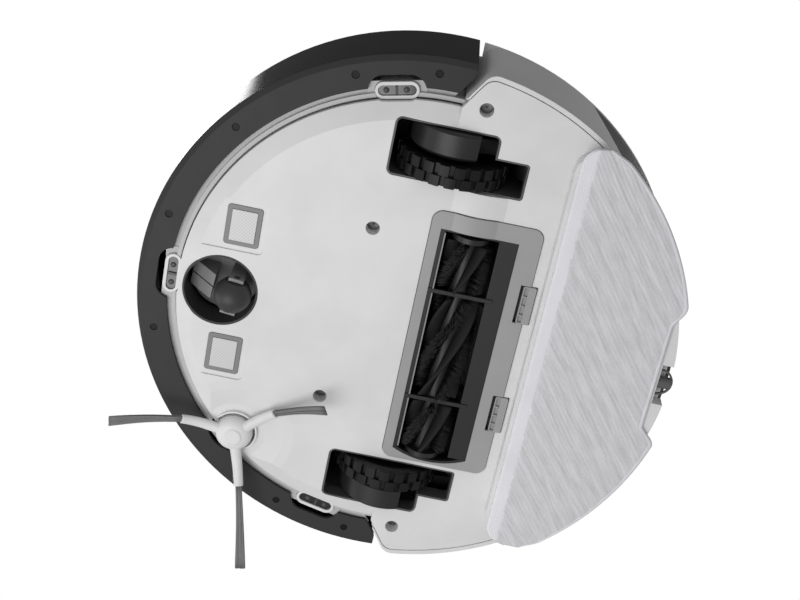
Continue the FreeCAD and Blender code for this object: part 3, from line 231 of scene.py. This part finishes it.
def cloth(name, colour):
    """Looped microfibre: fine fuzz and streaks along the modelled ribs."""
    material, tree, shader = new_material(name)
    vector = object_coords(tree)
    loops = noise_texture(tree, vector, 900.0, 4.0, 0.7)
    along = object_coords(tree, STREAK_SIZE, (0, 0, STREAK_TURN), "TEXTURE")
    streaks = noise_texture(tree, along, 1.0, 3.0)
    mixed = node(tree, "ShaderNodeMath", operation="MULTIPLY_ADD")
    link(tree, loops, mixed.inputs[0])
    mixed.inputs[1].default_value = 0.5
    link(tree, streaks, mixed.inputs[2])
    height = mixed.outputs["Value"]
    dark = tuple(c * 0.84 for c in colour)
    link(tree, ramp(tree, height, [(0.55, dark), (0.9, colour)]), shader.inputs["Base Color"])
    link(tree, bump(tree, height, 0.0004, 0.6), shader.inputs["Normal"])
    shader.inputs["Roughness"].default_value = 0.95
    shader.inputs["Sheen Weight"].default_value = 0.2
    return material


MATERIALS = {
    "white_plastic": plastic("white_plastic", grey(227), 0.42),
    "frame_grey": plastic("frame_grey", grey(192), 0.45),
    "panel_grey": ribbed_panel("panel_grey", grey(226), 0.45),
    "gloss_black": plastic("gloss_black", grey(20), 0.2, grain=300.0, depth=0.000002, level=0.12),
    "ring_dark": plastic("ring_dark", grey(57), 0.45, level=0.18),
    "black_plastic": plastic("black_plastic", grey(38), 0.4, level=0.4),
    "housing_grey": plastic("housing_grey", grey(86), 0.42),
    "screw_black": metal("screw_black", grey(42), 0.45),
    "cover_grey": plastic("cover_grey", grey(162), 0.42),
    "contact_metal": cross_hatched("contact_metal", grey(208), 0.46),
    "pale_rubber": plastic("pale_rubber", grey(150), 0.6),
    "mop_hem": plastic("mop_hem", grey(238, (0.985, 0.985, 1.03)), 0.85, grain=900.0, depth=0.0001),
    "sensor_dark": plastic("sensor_dark", grey(28), 0.1, grain=300.0, depth=0.000002, coat=0.6),
    "steel": metal("steel", grey(190), 0.3),
    "tyre_rubber": plastic("tyre_rubber", grey(22), 0.42, grain=900.0, depth=0.00003, level=0.25),
    "smoke_grey": plastic("smoke_grey", grey(78), 0.24, grain=300.0, depth=0.000004, level=0.3),
    "filter_paper": plastic("filter_paper", grey(222), 0.8, grain=700.0, depth=0.00006),
    "mop_cloth": cloth("mop_cloth", grey(224, (0.985, 0.985, 1.02))),
    "soft_rubber": plastic("soft_rubber", grey(92), 0.6),
    "black_bristle": plastic("black_bristle", grey(50), 0.5, level=0.3),
    "blade_rubber": plastic("blade_rubber", grey(34), 0.7, level=0.2),
    "grey_bristle": plastic("grey_bristle", grey(136), 0.6, level=0.2),
    "caster_rubber": plastic("caster_rubber", grey(54), 0.5),
    "fork_grey": plastic("fork_grey", grey(140), 0.45),
    "pocket_grey": plastic("pocket_grey", grey(132), 0.45),
    "head_grey": metal("head_grey", grey(128), 0.45),
    "board_green": plastic("board_green", (0.02, 0.13, 0.06), 0.4),
    "battery_wrap": plastic("battery_wrap", (0.03, 0.12, 0.32), 0.35),
    "motor_metal": metal("motor_metal", grey(170), 0.35),
}


def paint(obj, *names):
    obj.data.materials.clear()
    for name in names:
        obj.data.materials.append(MATERIALS[name])


def slot_of_nodes():
    """The record says which material slot each node takes."""
    return {part["node"]: part["material_slot"] for part in frame["record"]["subparts"]}


for name, slot_name in slot_of_nodes().items():
    obj = NODES[name]
    for s in obj.material_slots:
        s.material = MATERIALS[slot_name]
    if not obj.material_slots:
        obj.data.materials.append(MATERIALS[slot_name])

# The photograph shows these nodes in other tones than the rest of their slot.
SHADES = {"charging_frames": "pocket_grey", "bottom_screws": "head_grey", "caster_fork": "fork_grey",
          "caster_wheel": "caster_rubber"}
for name, shade in SHADES.items():
    for s in NODES[name].material_slots:
        s.material = MATERIALS[shade]


# ---- soft and fine pieces ------------------------------------------------
def add_object(name, vertices, faces, *materials, smooth=True):
    mesh = bpy.data.meshes.new(name)
    mesh.from_pydata([tuple(v) for v in vertices], [], faces)
    mesh.validate()
    obj = bpy.data.objects.new(name, mesh)
    bpy.context.scene.collection.objects.link(obj)
    paint(obj, *materials)
    for polygon in mesh.polygons:
        polygon.use_smooth = smooth
    return obj


def declare(obj, body, slot_name, *nodes):
    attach(obj, body)
    if nodes:
        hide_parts(*nodes)
    return obj


def tube(vertices, faces, path, radii, sides=5, flat=1.0):
    """Adds a closed tube along a path of points; flat below 1 squeezes it upright."""
    start = len(vertices)
    for i, point in enumerate(path):
        ahead = (path[min(i + 1, len(path) - 1)] - path[max(i - 1, 0)]).normalized()
        side = ahead.cross(Vector((0, 0, 1)))
        side = side.normalized() if side.length > 1e-6 else Vector((1, 0, 0))
        up = side.cross(ahead).normalized()
        for k in range(sides):
            turn = 2 * math.pi * k / sides
            vertices.append(point + (side * math.cos(turn) + up * math.sin(turn) * flat) * radii[i])
    rings = len(path)
    for i in range(rings - 1):
        for k in range(sides):
            a = start + i * sides + k
            b = start + i * sides + (k + 1) % sides
            faces.append((a, b, b + sides, a + sides))
    faces.append(tuple(start + k for k in reversed(range(sides))))
    faces.append(tuple(start + (rings - 1) * sides + k for k in range(sides)))


def solid_of_revolution(vertices, faces, profile, centre, segments=64):
    """Adds a closed turned shape; the profile runs from the axis to the axis."""
    start = len(vertices)
    inner = profile[1:-1]
    for radius, height in inner:
        for k in range(segments):
            turn = 2 * math.pi * k / segments
            vertices.append(centre + Vector((radius * math.cos(turn), radius * math.sin(turn), height)))
    for i in range(len(inner) - 1):
        for k in range(segments):
            a = start + i * segments + k
            b = start + i * segments + (k + 1) % segments
            faces.append((a, b, b + segments, a + segments))
    for edge, ring in ((profile[0], 0), (profile[-1], len(inner) - 1)):
        tip = len(vertices)
        vertices.append(centre + Vector((0, 0, edge[1])))
        for k in range(segments):
            a = start + ring * segments + k
            b = start + ring * segments + (k + 1) % segments
            faces.append((a, tip, b) if ring == 0 else (a, b, tip))


def melted(obj, voxel, rounds):
    """Joins overlapping shapes of one object into a single soft-edged skin."""
    remesh = obj.modifiers.new("join", "REMESH")
    remesh.mode = "VOXEL"
    remesh.voxel_size = voxel
    smooth = obj.modifiers.new("soften", "SMOOTH")
    smooth.factor = 0.5
    smooth.iterations = rounds
    bpy.context.view_layer.update()
    evaluated = obj.evaluated_get(bpy.context.evaluated_depsgraph_get())
    mesh = bpy.data.meshes.new_from_object(evaluated)
    obj.modifiers.clear()
    obj.data = mesh
    for polygon in mesh.polygons:
        polygon.use_smooth = True
    return obj


HUB = Vector((-95.6, -89.3, 0.0)) * MM
# Per arm: direction at the hub, where the sleeve ends and where the bristles end (radius and angle).
ARMS = (
    ((33.3, -79.0, 6.2), (74.6, -88.5, -6.0)),
    ((33.0, 45.5, 6.2), (66.4, 54.0, -6.0)),
    ((34.6, 165.0, 6.2), (88.0, 167.2, -6.0)),
)


# Turned profile of the head, from its tip on the axis to its flat back: radius and height.
HEAD_PROFILE = ((0, 6.95), (5.35, 6.95), (5.6, 7.3), (7.6, 7.8), (9.6, 8.9), (11.0, 10.6), (11.6, 13.0),
                (11.6, 18.4), (0, 18.4))
HEAD_VOXEL = 0.32 * MM
HEAD_ROUNDS = 6
SLEEVE_STEPS = 14
SLEEVE_START_R = 5.0
SLEEVE_START_Z = 11.3
SLEEVE_ARCH = 2.7
SLEEVE_THICK = (3.6, 3.0)     # radius at the hub and at the end
SLEEVE_SQUEEZE = 0.8
TUFT_HAIRS = 170
TUFT_HALF = (1.7, 2.9)        # half width at the sleeve and at the tip
TUFT_LIFT = 1.8
TUFT_DEPTH = (1.3, 0.6)       # half height at the sleeve, and how much of it is lost at the tip
TUFT_ROOT = 2.0               # length hidden in the sleeve
TUFT_HAIR_R = (0.24, 0.15)


def polar(radius, degrees, height):
    """A point round the side brush's axis."""
    turn = math.radians(degrees)
    return HUB + Vector((radius * math.cos(turn), radius * math.sin(turn), height)) * MM


def side_brush_head():
    vertices, faces = [], []
    solid_of_revolution(vertices, faces, [(r * MM, z * MM) for r, z in HEAD_PROFILE], HUB)
    for sleeve, _ in ARMS:
        path = []
        radii = []
        for i in range(SLEEVE_STEPS + 1):
            t = i / SLEEVE_STEPS
            radius = SLEEVE_START_R + (sleeve[0] - SLEEVE_START_R) * t
            height = SLEEVE_START_Z - (SLEEVE_START_Z - sleeve[2]) * t ** SLEEVE_ARCH
            path.append(polar(radius, sleeve[1], height))
            radii.append((SLEEVE_THICK[0] + (SLEEVE_THICK[1] - SLEEVE_THICK[0]) * t) * MM)
        tube(vertices, faces, path, radii, 20, SLEEVE_SQUEEZE)
    rough_head = add_object("side_brush_head", vertices, faces, "white_plastic")
    head = melted(rough_head, HEAD_VOXEL, HEAD_ROUNDS)
    paint(head, "white_plastic")
    return declare(head, "side_brush", "white_plastic", "side_brush_hub")


def side_brush_tufts():
    vertices, faces = [], []
    for sleeve, tip in ARMS:
        start = polar(*sleeve)
        end = polar(*tip)
        across = (end - start).cross(Vector((0, 0, 1))).normalized()
        for _ in range(TUFT_HAIRS):
            u = random.uniform(-1, 1)
            v = random.uniform(-1, 1)
            spread_out = TUFT_HALF[1] + random.uniform(-0.3, 0.5)
            path = []
            for i in range(9):
                t = i / 8
                middle = start.lerp(end, t * random.uniform(0.995, 1.0))
                lift = TUFT_LIFT * math.sin(math.pi * t) * MM
                width = (TUFT_HALF[0] + (spread_out - TUFT_HALF[0]) * t ** 1.5) * u * MM
                depth = v * (TUFT_DEPTH[0] - TUFT_DEPTH[1] * t) * MM
                path.append(middle + across * width + Vector((0, 0, lift + depth)))
            path[0] = path[0] - (end - start).normalized() * TUFT_ROOT * MM
            tube(vertices, faces, path, [TUFT_HAIR_R[0] * MM] * 8 + [TUFT_HAIR_R[1] * MM], 4)
    tufts = add_object("side_brush_tufts", vertices, faces, "grey_bristle")
    return declare(tufts, "side_brush", "grey_bristle", "side_brush_bristles")


BRUSH_AXIS = Vector((0.0, 27.2, 19.0)) * MM
BRUSH_ZONES = ((-79.3, -47.4), (-41.8, 24.2), (29.8, 59.4))     # clear of the guard's two ribs
BRUSH_ROWS = 3
FIRST_ROW = 2.3                                                  # angle of a row at the middle
TWIST = math.radians(300.0) / 140.0                              # turn of the rows per millimetre
BRISTLE_PITCH = 0.62
BRISTLES_PER_PITCH = 9
BRISTLE_ROOT_R = 5.6
BRISTLE_MIDDLE_R = 10.5
BRISTLE_TIP_R = (14.2, 15.6)
BRISTLE_THICK = (0.2, 0.19, 0.13)
ROW_HALF_ANGLE = 0.24
BRISTLE_LEAN = 0.12
# Outline of a blade: radius and angle about the middle of the blade.
VANE_SECTION = ((5.4, -0.26), (9.5, -0.13), (13.4, -0.075), (14.0, 0.0), (13.4, 0.075), (9.5, 0.13),
                (5.4, 0.26))
VANE_STEP = 1.6


def around_brush(x, radius, angle):
    return BRUSH_AXIS + Vector((x, radius * math.cos(angle), radius * math.sin(angle))) * MM


def brush_row_angle(x, row):
    return 2 * math.pi * row / BRUSH_ROWS + TWIST * x + FIRST_ROW


def main_brush_rows():
    """Rows of nylon bristles wound round the core."""
    vertices, faces = [], []
    for x0, x1 in BRUSH_ZONES:
        count = int((x1 - x0) / BRISTLE_PITCH)
        for row in range(BRUSH_ROWS):
            for i in range(count):
                for _ in range(BRISTLES_PER_PITCH):
                    x = x0 + 0.3 + (x1 - x0 - 0.6) * (i + random.random()) / count
                    angle = brush_row_angle(x, row) + random.uniform(-ROW_HALF_ANGLE, ROW_HALF_ANGLE)
                    lean = random.uniform(-BRISTLE_LEAN, BRISTLE_LEAN)
                    reach = random.uniform(*BRISTLE_TIP_R)
                    tip_x = min(max(x + random.uniform(-0.9, 0.9), x0 + 0.2), x1 - 0.2)
                    path = [around_brush(x, BRISTLE_ROOT_R, angle),
                            around_brush((x + tip_x) / 2, BRISTLE_MIDDLE_R, angle + lean * 0.4),
                            around_brush(tip_x, reach, angle + lean)]
                    tube(vertices, faces, path, [thick * MM for thick in BRISTLE_THICK], 3)
    rows = add_object("main_brush_rows", vertices, faces, "black_bristle")
    return declare(rows, "main_brush", "black_bristle", "main_brush_bristles")


def main_brush_vanes():
    """Rubber blades wound between the bristle rows."""
    vertices, faces = [], []
    sides = len(VANE_SECTION)
    for x0, x1 in BRUSH_ZONES:
        steps = max(8, int((x1 - x0) / VANE_STEP))
        for row in range(BRUSH_ROWS):
            start = len(vertices)
            for i in range(steps + 1):
                x = x0 + (x1 - x0) * i / steps
                angle = brush_row_angle(x, row) + math.pi / BRUSH_ROWS
                for radius, shift in VANE_SECTION:
                    vertices.append(around_brush(x, radius, angle + shift))
            for i in range(steps):
                for k in range(sides):
                    a = start + i * sides + k
                    b = start + i * sides + (k + 1) % sides
                    faces.append((a, b, b + sides, a + sides))
            faces.append(tuple(start + k for k in reversed(range(sides))))
            faces.append(tuple(start + steps * sides + k for k in range(sides)))
    vanes = add_object("main_brush_vanes", vertices, faces, "blade_rubber")
    return declare(vanes, "main_brush", "black_plastic")


# ---- mop cloth ------------------------------------------------------------
MOP_R = 166.0
MOP_FRONT = 76.7
MOP_SIDES = (-129.5, 135.5)
NOTCH = (-32.0, 42.0, 152.0)
HEM_BACK = 84.5
HEM_SIDE = 2.6
CORNER_R = 12.0
BAND_PITCH = 9.2
RIB_PITCH = 2.3
STITCH_PITCH = 2.6
MOP_COLUMNS = 330
MOP_DEEP = 120
MOP_TOP = 3.13


def mop_front(x):
    """Front edge of the cloth, with rounded corners."""
    inside = min(x - MOP_SIDES[0], MOP_SIDES[1] - x)
    if inside >= CORNER_R:
        return MOP_FRONT
    return MOP_FRONT + CORNER_R - math.sqrt(max(0.0, CORNER_R ** 2 - (CORNER_R - inside) ** 2))


def smooth_step(value, low, high):
    t = min(1.0, max(0.0, (value - low) / (high - low)))
    return t * t * (3 - 2 * t)


def mop_rear(x):
    """Rear edge: the round body's curve with the shallow notch by the filling plug."""
    arc = math.sqrt(MOP_R ** 2 - x ** 2)
    inside = min(x - MOP_SIDES[0], MOP_SIDES[1] - x)
    arc -= 3.5 * (1 - smooth_step(inside, 0.0, 6.0))
    dip = smooth_step(x, NOTCH[0] - 9, NOTCH[0] + 4) * (1 - smooth_step(x, NOTCH[1] - 4, NOTCH[1] + 12))
    return arc - dip * (arc - NOTCH[2])


def mop_height(x, y, front, rear):
    """Underside of the cloth: broad diagonal bands with fine ribs, a raised hem and a stitched line."""
    along = 0.60 * x + 0.80 * y
    wobble = 1.1 * noise.noise(Vector((x * 0.03, y * 0.03, 0.0)))
    band = math.sin(2 * math.pi * (along + wobble) / BAND_PITCH)
    rib = math.sin(2 * math.pi * (along + wobble) / RIB_PITCH)
    fuzz = noise.noise(Vector((x * 0.9, y * 0.9, 3.0)))
    pile = 0.42 - 0.2 * band - 0.1 * rib + 0.12 * fuzz
    rim = min(y - front, rear - y)
    hem = 0.62 + 0.05 * math.sin(2 * math.pi * (y - front) / 1.7)
    thread = 0.6 + 0.4 * math.sin(2 * math.pi * x / STITCH_PITCH)
    stitch = 0.35 * math.exp(-((y - HEM_BACK) / 0.5) ** 2) * thread
    past_front = smooth_step(y, HEM_BACK - 0.3, HEM_BACK + 0.9)
    in_hem = 1 - past_front * smooth_step(rear - y, HEM_SIDE - 0.5, HEM_SIDE + 0.3)
    low = pile * (1 - in_hem) + hem * in_hem + stitch
    return low + 0.9 * (1 - smooth_step(rim, 0.0, 1.2))


def mop_cloth():
    columns = MOP_COLUMNS
    rows = MOP_DEEP
    top = MOP_TOP
    vertices, faces = [], []
    for layer in (0, 1):
        for i in range(columns + 1):
            x = MOP_SIDES[0] + 0.02 + (MOP_SIDES[1] - MOP_SIDES[0] - 0.04) * i / columns
            front = mop_front(x)
            rear = mop_rear(x)
            for j in range(rows + 1):
                y = front + (rear - front) * j / rows
                z = top if layer else min(mop_height(x, y, front, rear), top - 0.3)
                vertices.append(Vector((x, y, z)) * MM)
    size = (columns + 1) * (rows + 1)

    def index(layer, i, j):
        return layer * size + i * (rows + 1) + j

    for i in range(columns):
        for j in range(rows):
            faces.append((index(0, i, j), index(0, i, j + 1), index(0, i + 1, j + 1), index(0, i + 1, j)))
            faces.append((index(1, i, j), index(1, i + 1, j), index(1, i + 1, j + 1), index(1, i, j + 1)))
    for i in range(columns):
        faces.append((index(0, i, 0), index(0, i + 1, 0), index(1, i + 1, 0), index(1, i, 0)))
        faces.append((index(0, i + 1, rows), index(0, i, rows), index(1, i, rows), index(1, i + 1, rows)))
    for j in range(rows):
        faces.append((index(0, 0, j + 1), index(0, 0, j), index(1, 0, j), index(1, 0, j + 1)))
        faces.append((index(0, columns, j), index(0, columns, j + 1),
                      index(1, columns, j + 1), index(1, columns, j)))
    pad = add_object("mop_cloth_sheet", vertices, faces, "mop_cloth", "mop_hem")
    for polygon in pad.data.polygons:
        x, y, _ = polygon.center / MM
        if y < HEM_BACK or mop_rear(min(max(x, MOP_SIDES[0]), MOP_SIDES[1])) - y < HEM_SIDE:
            polygon.material_index = 1
    declare(pad, "mop_module", "mop_cloth", "mop_pad")
    flat_area = 0.0
    for i in range(columns):
        x = MOP_SIDES[0] + (MOP_SIDES[1] - MOP_SIDES[0]) * (i + 0.5) / columns
        flat_area += (mop_rear(x) - mop_front(x)) * (MOP_SIDES[1] - MOP_SIDES[0]) / columns
    return pad


SENSOR_R = 142.0
SENSORS_DEG = (-167.2, -90.0, -12.8)
LENS_R = 1.9
LENS_SHIFTS = (-6.2, 5.2)


def sensor_optics():
    """Lamp and receiver behind each cliff sensor's window."""
    vertices, faces = [], []
    for degrees in SENSORS_DEG:
        turn = math.radians(degrees)
        outwards = Vector((math.cos(turn), math.sin(turn), 0))
        along = Vector((-math.sin(turn), math.cos(turn), 0))
        for shift in LENS_SHIFTS:
            centre = (outwards * SENSOR_R + along * shift) * MM
            profile = [(0, 20.2), (LENS_R * 0.5, 20.35), (LENS_R * 0.87, 20.9), (LENS_R, 21.7), (LENS_R, 24.5),
                       (0, 24.5)]
            solid_of_revolution(vertices, faces, [(r * MM, z * MM) for r, z in profile], centre, 20)
        wall = [outwards * (SENSOR_R + a) + along * (b - 0.6) + Vector((0, 0, c))
                for c in (20.4, 24.5) for a, b in ((-2.4, -0.5), (2.4, -0.5), (2.4, 0.9), (-2.4, 0.9))]
        start = len(vertices)
        vertices.extend(v * MM for v in wall)
        for quad in ((3, 2, 1, 0), (4, 5, 6, 7), (0, 1, 5, 4), (1, 2, 6, 5), (2, 3, 7, 6), (3, 0, 4, 7)):
            faces.append(tuple(start + q for q in quad))
    optics = add_object("cliff_sensor_optics", vertices, faces, "smoke_grey", smooth=False)
    return declare(optics, "chassis", "smoke_grey")


side_brush_head()
side_brush_tufts()
main_brush_rows()
main_brush_vanes()
mop_cloth()
sensor_optics()


# ---- stage, light and camera --------------------------------------------
FLOOR_GLOW = 0.22     # keeps the far floor pale; the floor lights no part of the object
FLOOR_HALF = 4.0
FLOOR_DROP = 0.0002
# Name, place, size in metres and power in watts; each one looks at the middle of the robot.
TOP_LIGHTS = (("top_light", (-0.8, -0.5, 1.5), 1.2, 16.0), ("rear_top_light", (-0.3, 1.2, 1.3), 1.0, 8.0))


def backdrop_floor():
    """A pale floor at z = 0 that is drawn from above only, because the photograph looks from below."""
    mesh = bpy.data.meshes.new("studio_floor")
    corners = [(-FLOOR_HALF, -FLOOR_HALF), (FLOOR_HALF, -FLOOR_HALF), (FLOOR_HALF, FLOOR_HALF),
               (-FLOOR_HALF, FLOOR_HALF)]
    mesh.from_pydata([(x, y, CAD_LOW.z - FLOOR_DROP) for x, y in corners], [], [(0, 1, 2, 3)])
    floor = bpy.data.objects.new("studio_floor", mesh)
    bpy.context.scene.collection.objects.link(floor)
    material, tree, shader = new_material("studio_floor")
    vector = object_coords(tree)
    mottled = noise_texture(tree, vector, 40.0, 3.0)
    link(tree, ramp(tree, mottled, [(0.3, grey(238)), (0.7, grey(243))]), shader.inputs["Base Color"])
    shader.inputs["Roughness"].default_value = 0.6
    shader.inputs["Emission Color"].default_value = (*grey(240), 1.0)
    shader.inputs["Emission Strength"].default_value = FLOOR_GLOW
    clear = node(tree, "ShaderNodeBsdfTransparent")
    side = node(tree, "ShaderNodeNewGeometry")
    mix = node(tree, "ShaderNodeMixShader")
    output = tree.nodes["Material Output"]
    link(tree, side.outputs["Backfacing"], mix.inputs["Fac"])
    link(tree, shader.outputs["BSDF"], mix.inputs[1])
    link(tree, clear.outputs["BSDF"], mix.inputs[2])
    link(tree, mix.outputs["Shader"], output.inputs["Surface"])
    mesh.materials.append(material)
    floor.visible_shadow = False
    floor.visible_diffuse = False
    floor.visible_glossy = False


def area_light(name, location, target, size, power):
    """A square soft light that faces its target."""
    light = bpy.data.lights.new(name, "AREA")
    light.shape = "SQUARE"
    light.size = size
    light.energy = power
    obj = bpy.data.objects.new(name, light)
    obj.location = location
    direction = Vector(target) - Vector(location)
    obj.rotation_euler = direction.to_track_quat("-Z", "Y").to_euler()
    bpy.context.scene.collection.objects.link(obj)
    return obj


VIEW_FORWARD = Vector((-0.41704, 0.02297, 0.90860)).normalized()
VIEW_RIGHT = Vector((0.19088, 0.97960, 0.06285)).normalized()
VIEW_UP = VIEW_RIGHT.cross(VIEW_FORWARD).normalized()
CAMERA_AT = Vector((0.36433, -0.02479, -0.74606))
CENTRE = Vector((0.0, 0.0, 0.03))
AMBIENT = (0.42, 0.11)    # the studio's fill from below and from above; the backdrop itself shows white


def studio():
    scene = bpy.context.scene
    world = bpy.data.worlds.new("studio")
    scene.world = world
    world.use_nodes = True
    tree = world.node_tree
    background = tree.nodes["Background"]
    background.inputs["Color"].default_value = (1.0, 1.0, 1.0, 1.0)
    path = node(tree, "ShaderNodeLightPath")
    direction = node(tree, "ShaderNodeTexCoord")
    parts = node(tree, "ShaderNodeSeparateXYZ")
    link(tree, direction.outputs["Generated"], parts.inputs["Vector"])
    fill = node(tree, "ShaderNodeMapRange")
    fill.inputs["From Min"].default_value = -0.4
    fill.inputs["From Max"].default_value = 0.4
    fill.inputs["To Min"].default_value = AMBIENT[0]
    fill.inputs["To Max"].default_value = AMBIENT[1]
    link(tree, parts.outputs["Z"], fill.inputs["Value"])
    chosen = node(tree, "ShaderNodeMix")
    link(tree, path.outputs["Is Camera Ray"], chosen.inputs[0])
    link(tree, fill.outputs["Result"], chosen.inputs[2])
    chosen.inputs[3].default_value = 1.0
    link(tree, chosen.outputs[0], background.inputs["Strength"])
    scene.view_settings.view_transform = "Standard"
    behind = -VIEW_FORWARD
    key = CENTRE + behind * 0.75 - VIEW_RIGHT * 0.45 - VIEW_UP * 0.45
    area_light("key_light", key, CENTRE, 0.7, 4.7)
    area_light("side_box", CENTRE + Vector((-0.417, -0.902, -0.056)), CENTRE, 0.6, 1.4)
    for name, place, size, power in TOP_LIGHTS:
        area_light(name, place, CENTRE, size, power)


def camera():
    data = bpy.data.cameras.new("camera")
    data.sensor_width = 36.0
    data.lens = 63.68
    data.clip_start = 0.01
    data.clip_end = 100.0
    obj = bpy.data.objects.new("camera", data)
    rotation = Matrix((VIEW_RIGHT, VIEW_UP, -VIEW_FORWARD)).transposed()
    obj.matrix_world = Matrix.Translation(CAMERA_AT) @ rotation.to_4x4()
    bpy.context.scene.collection.objects.link(obj)
    bpy.context.scene.camera = obj


backdrop_floor()
studio()
camera()
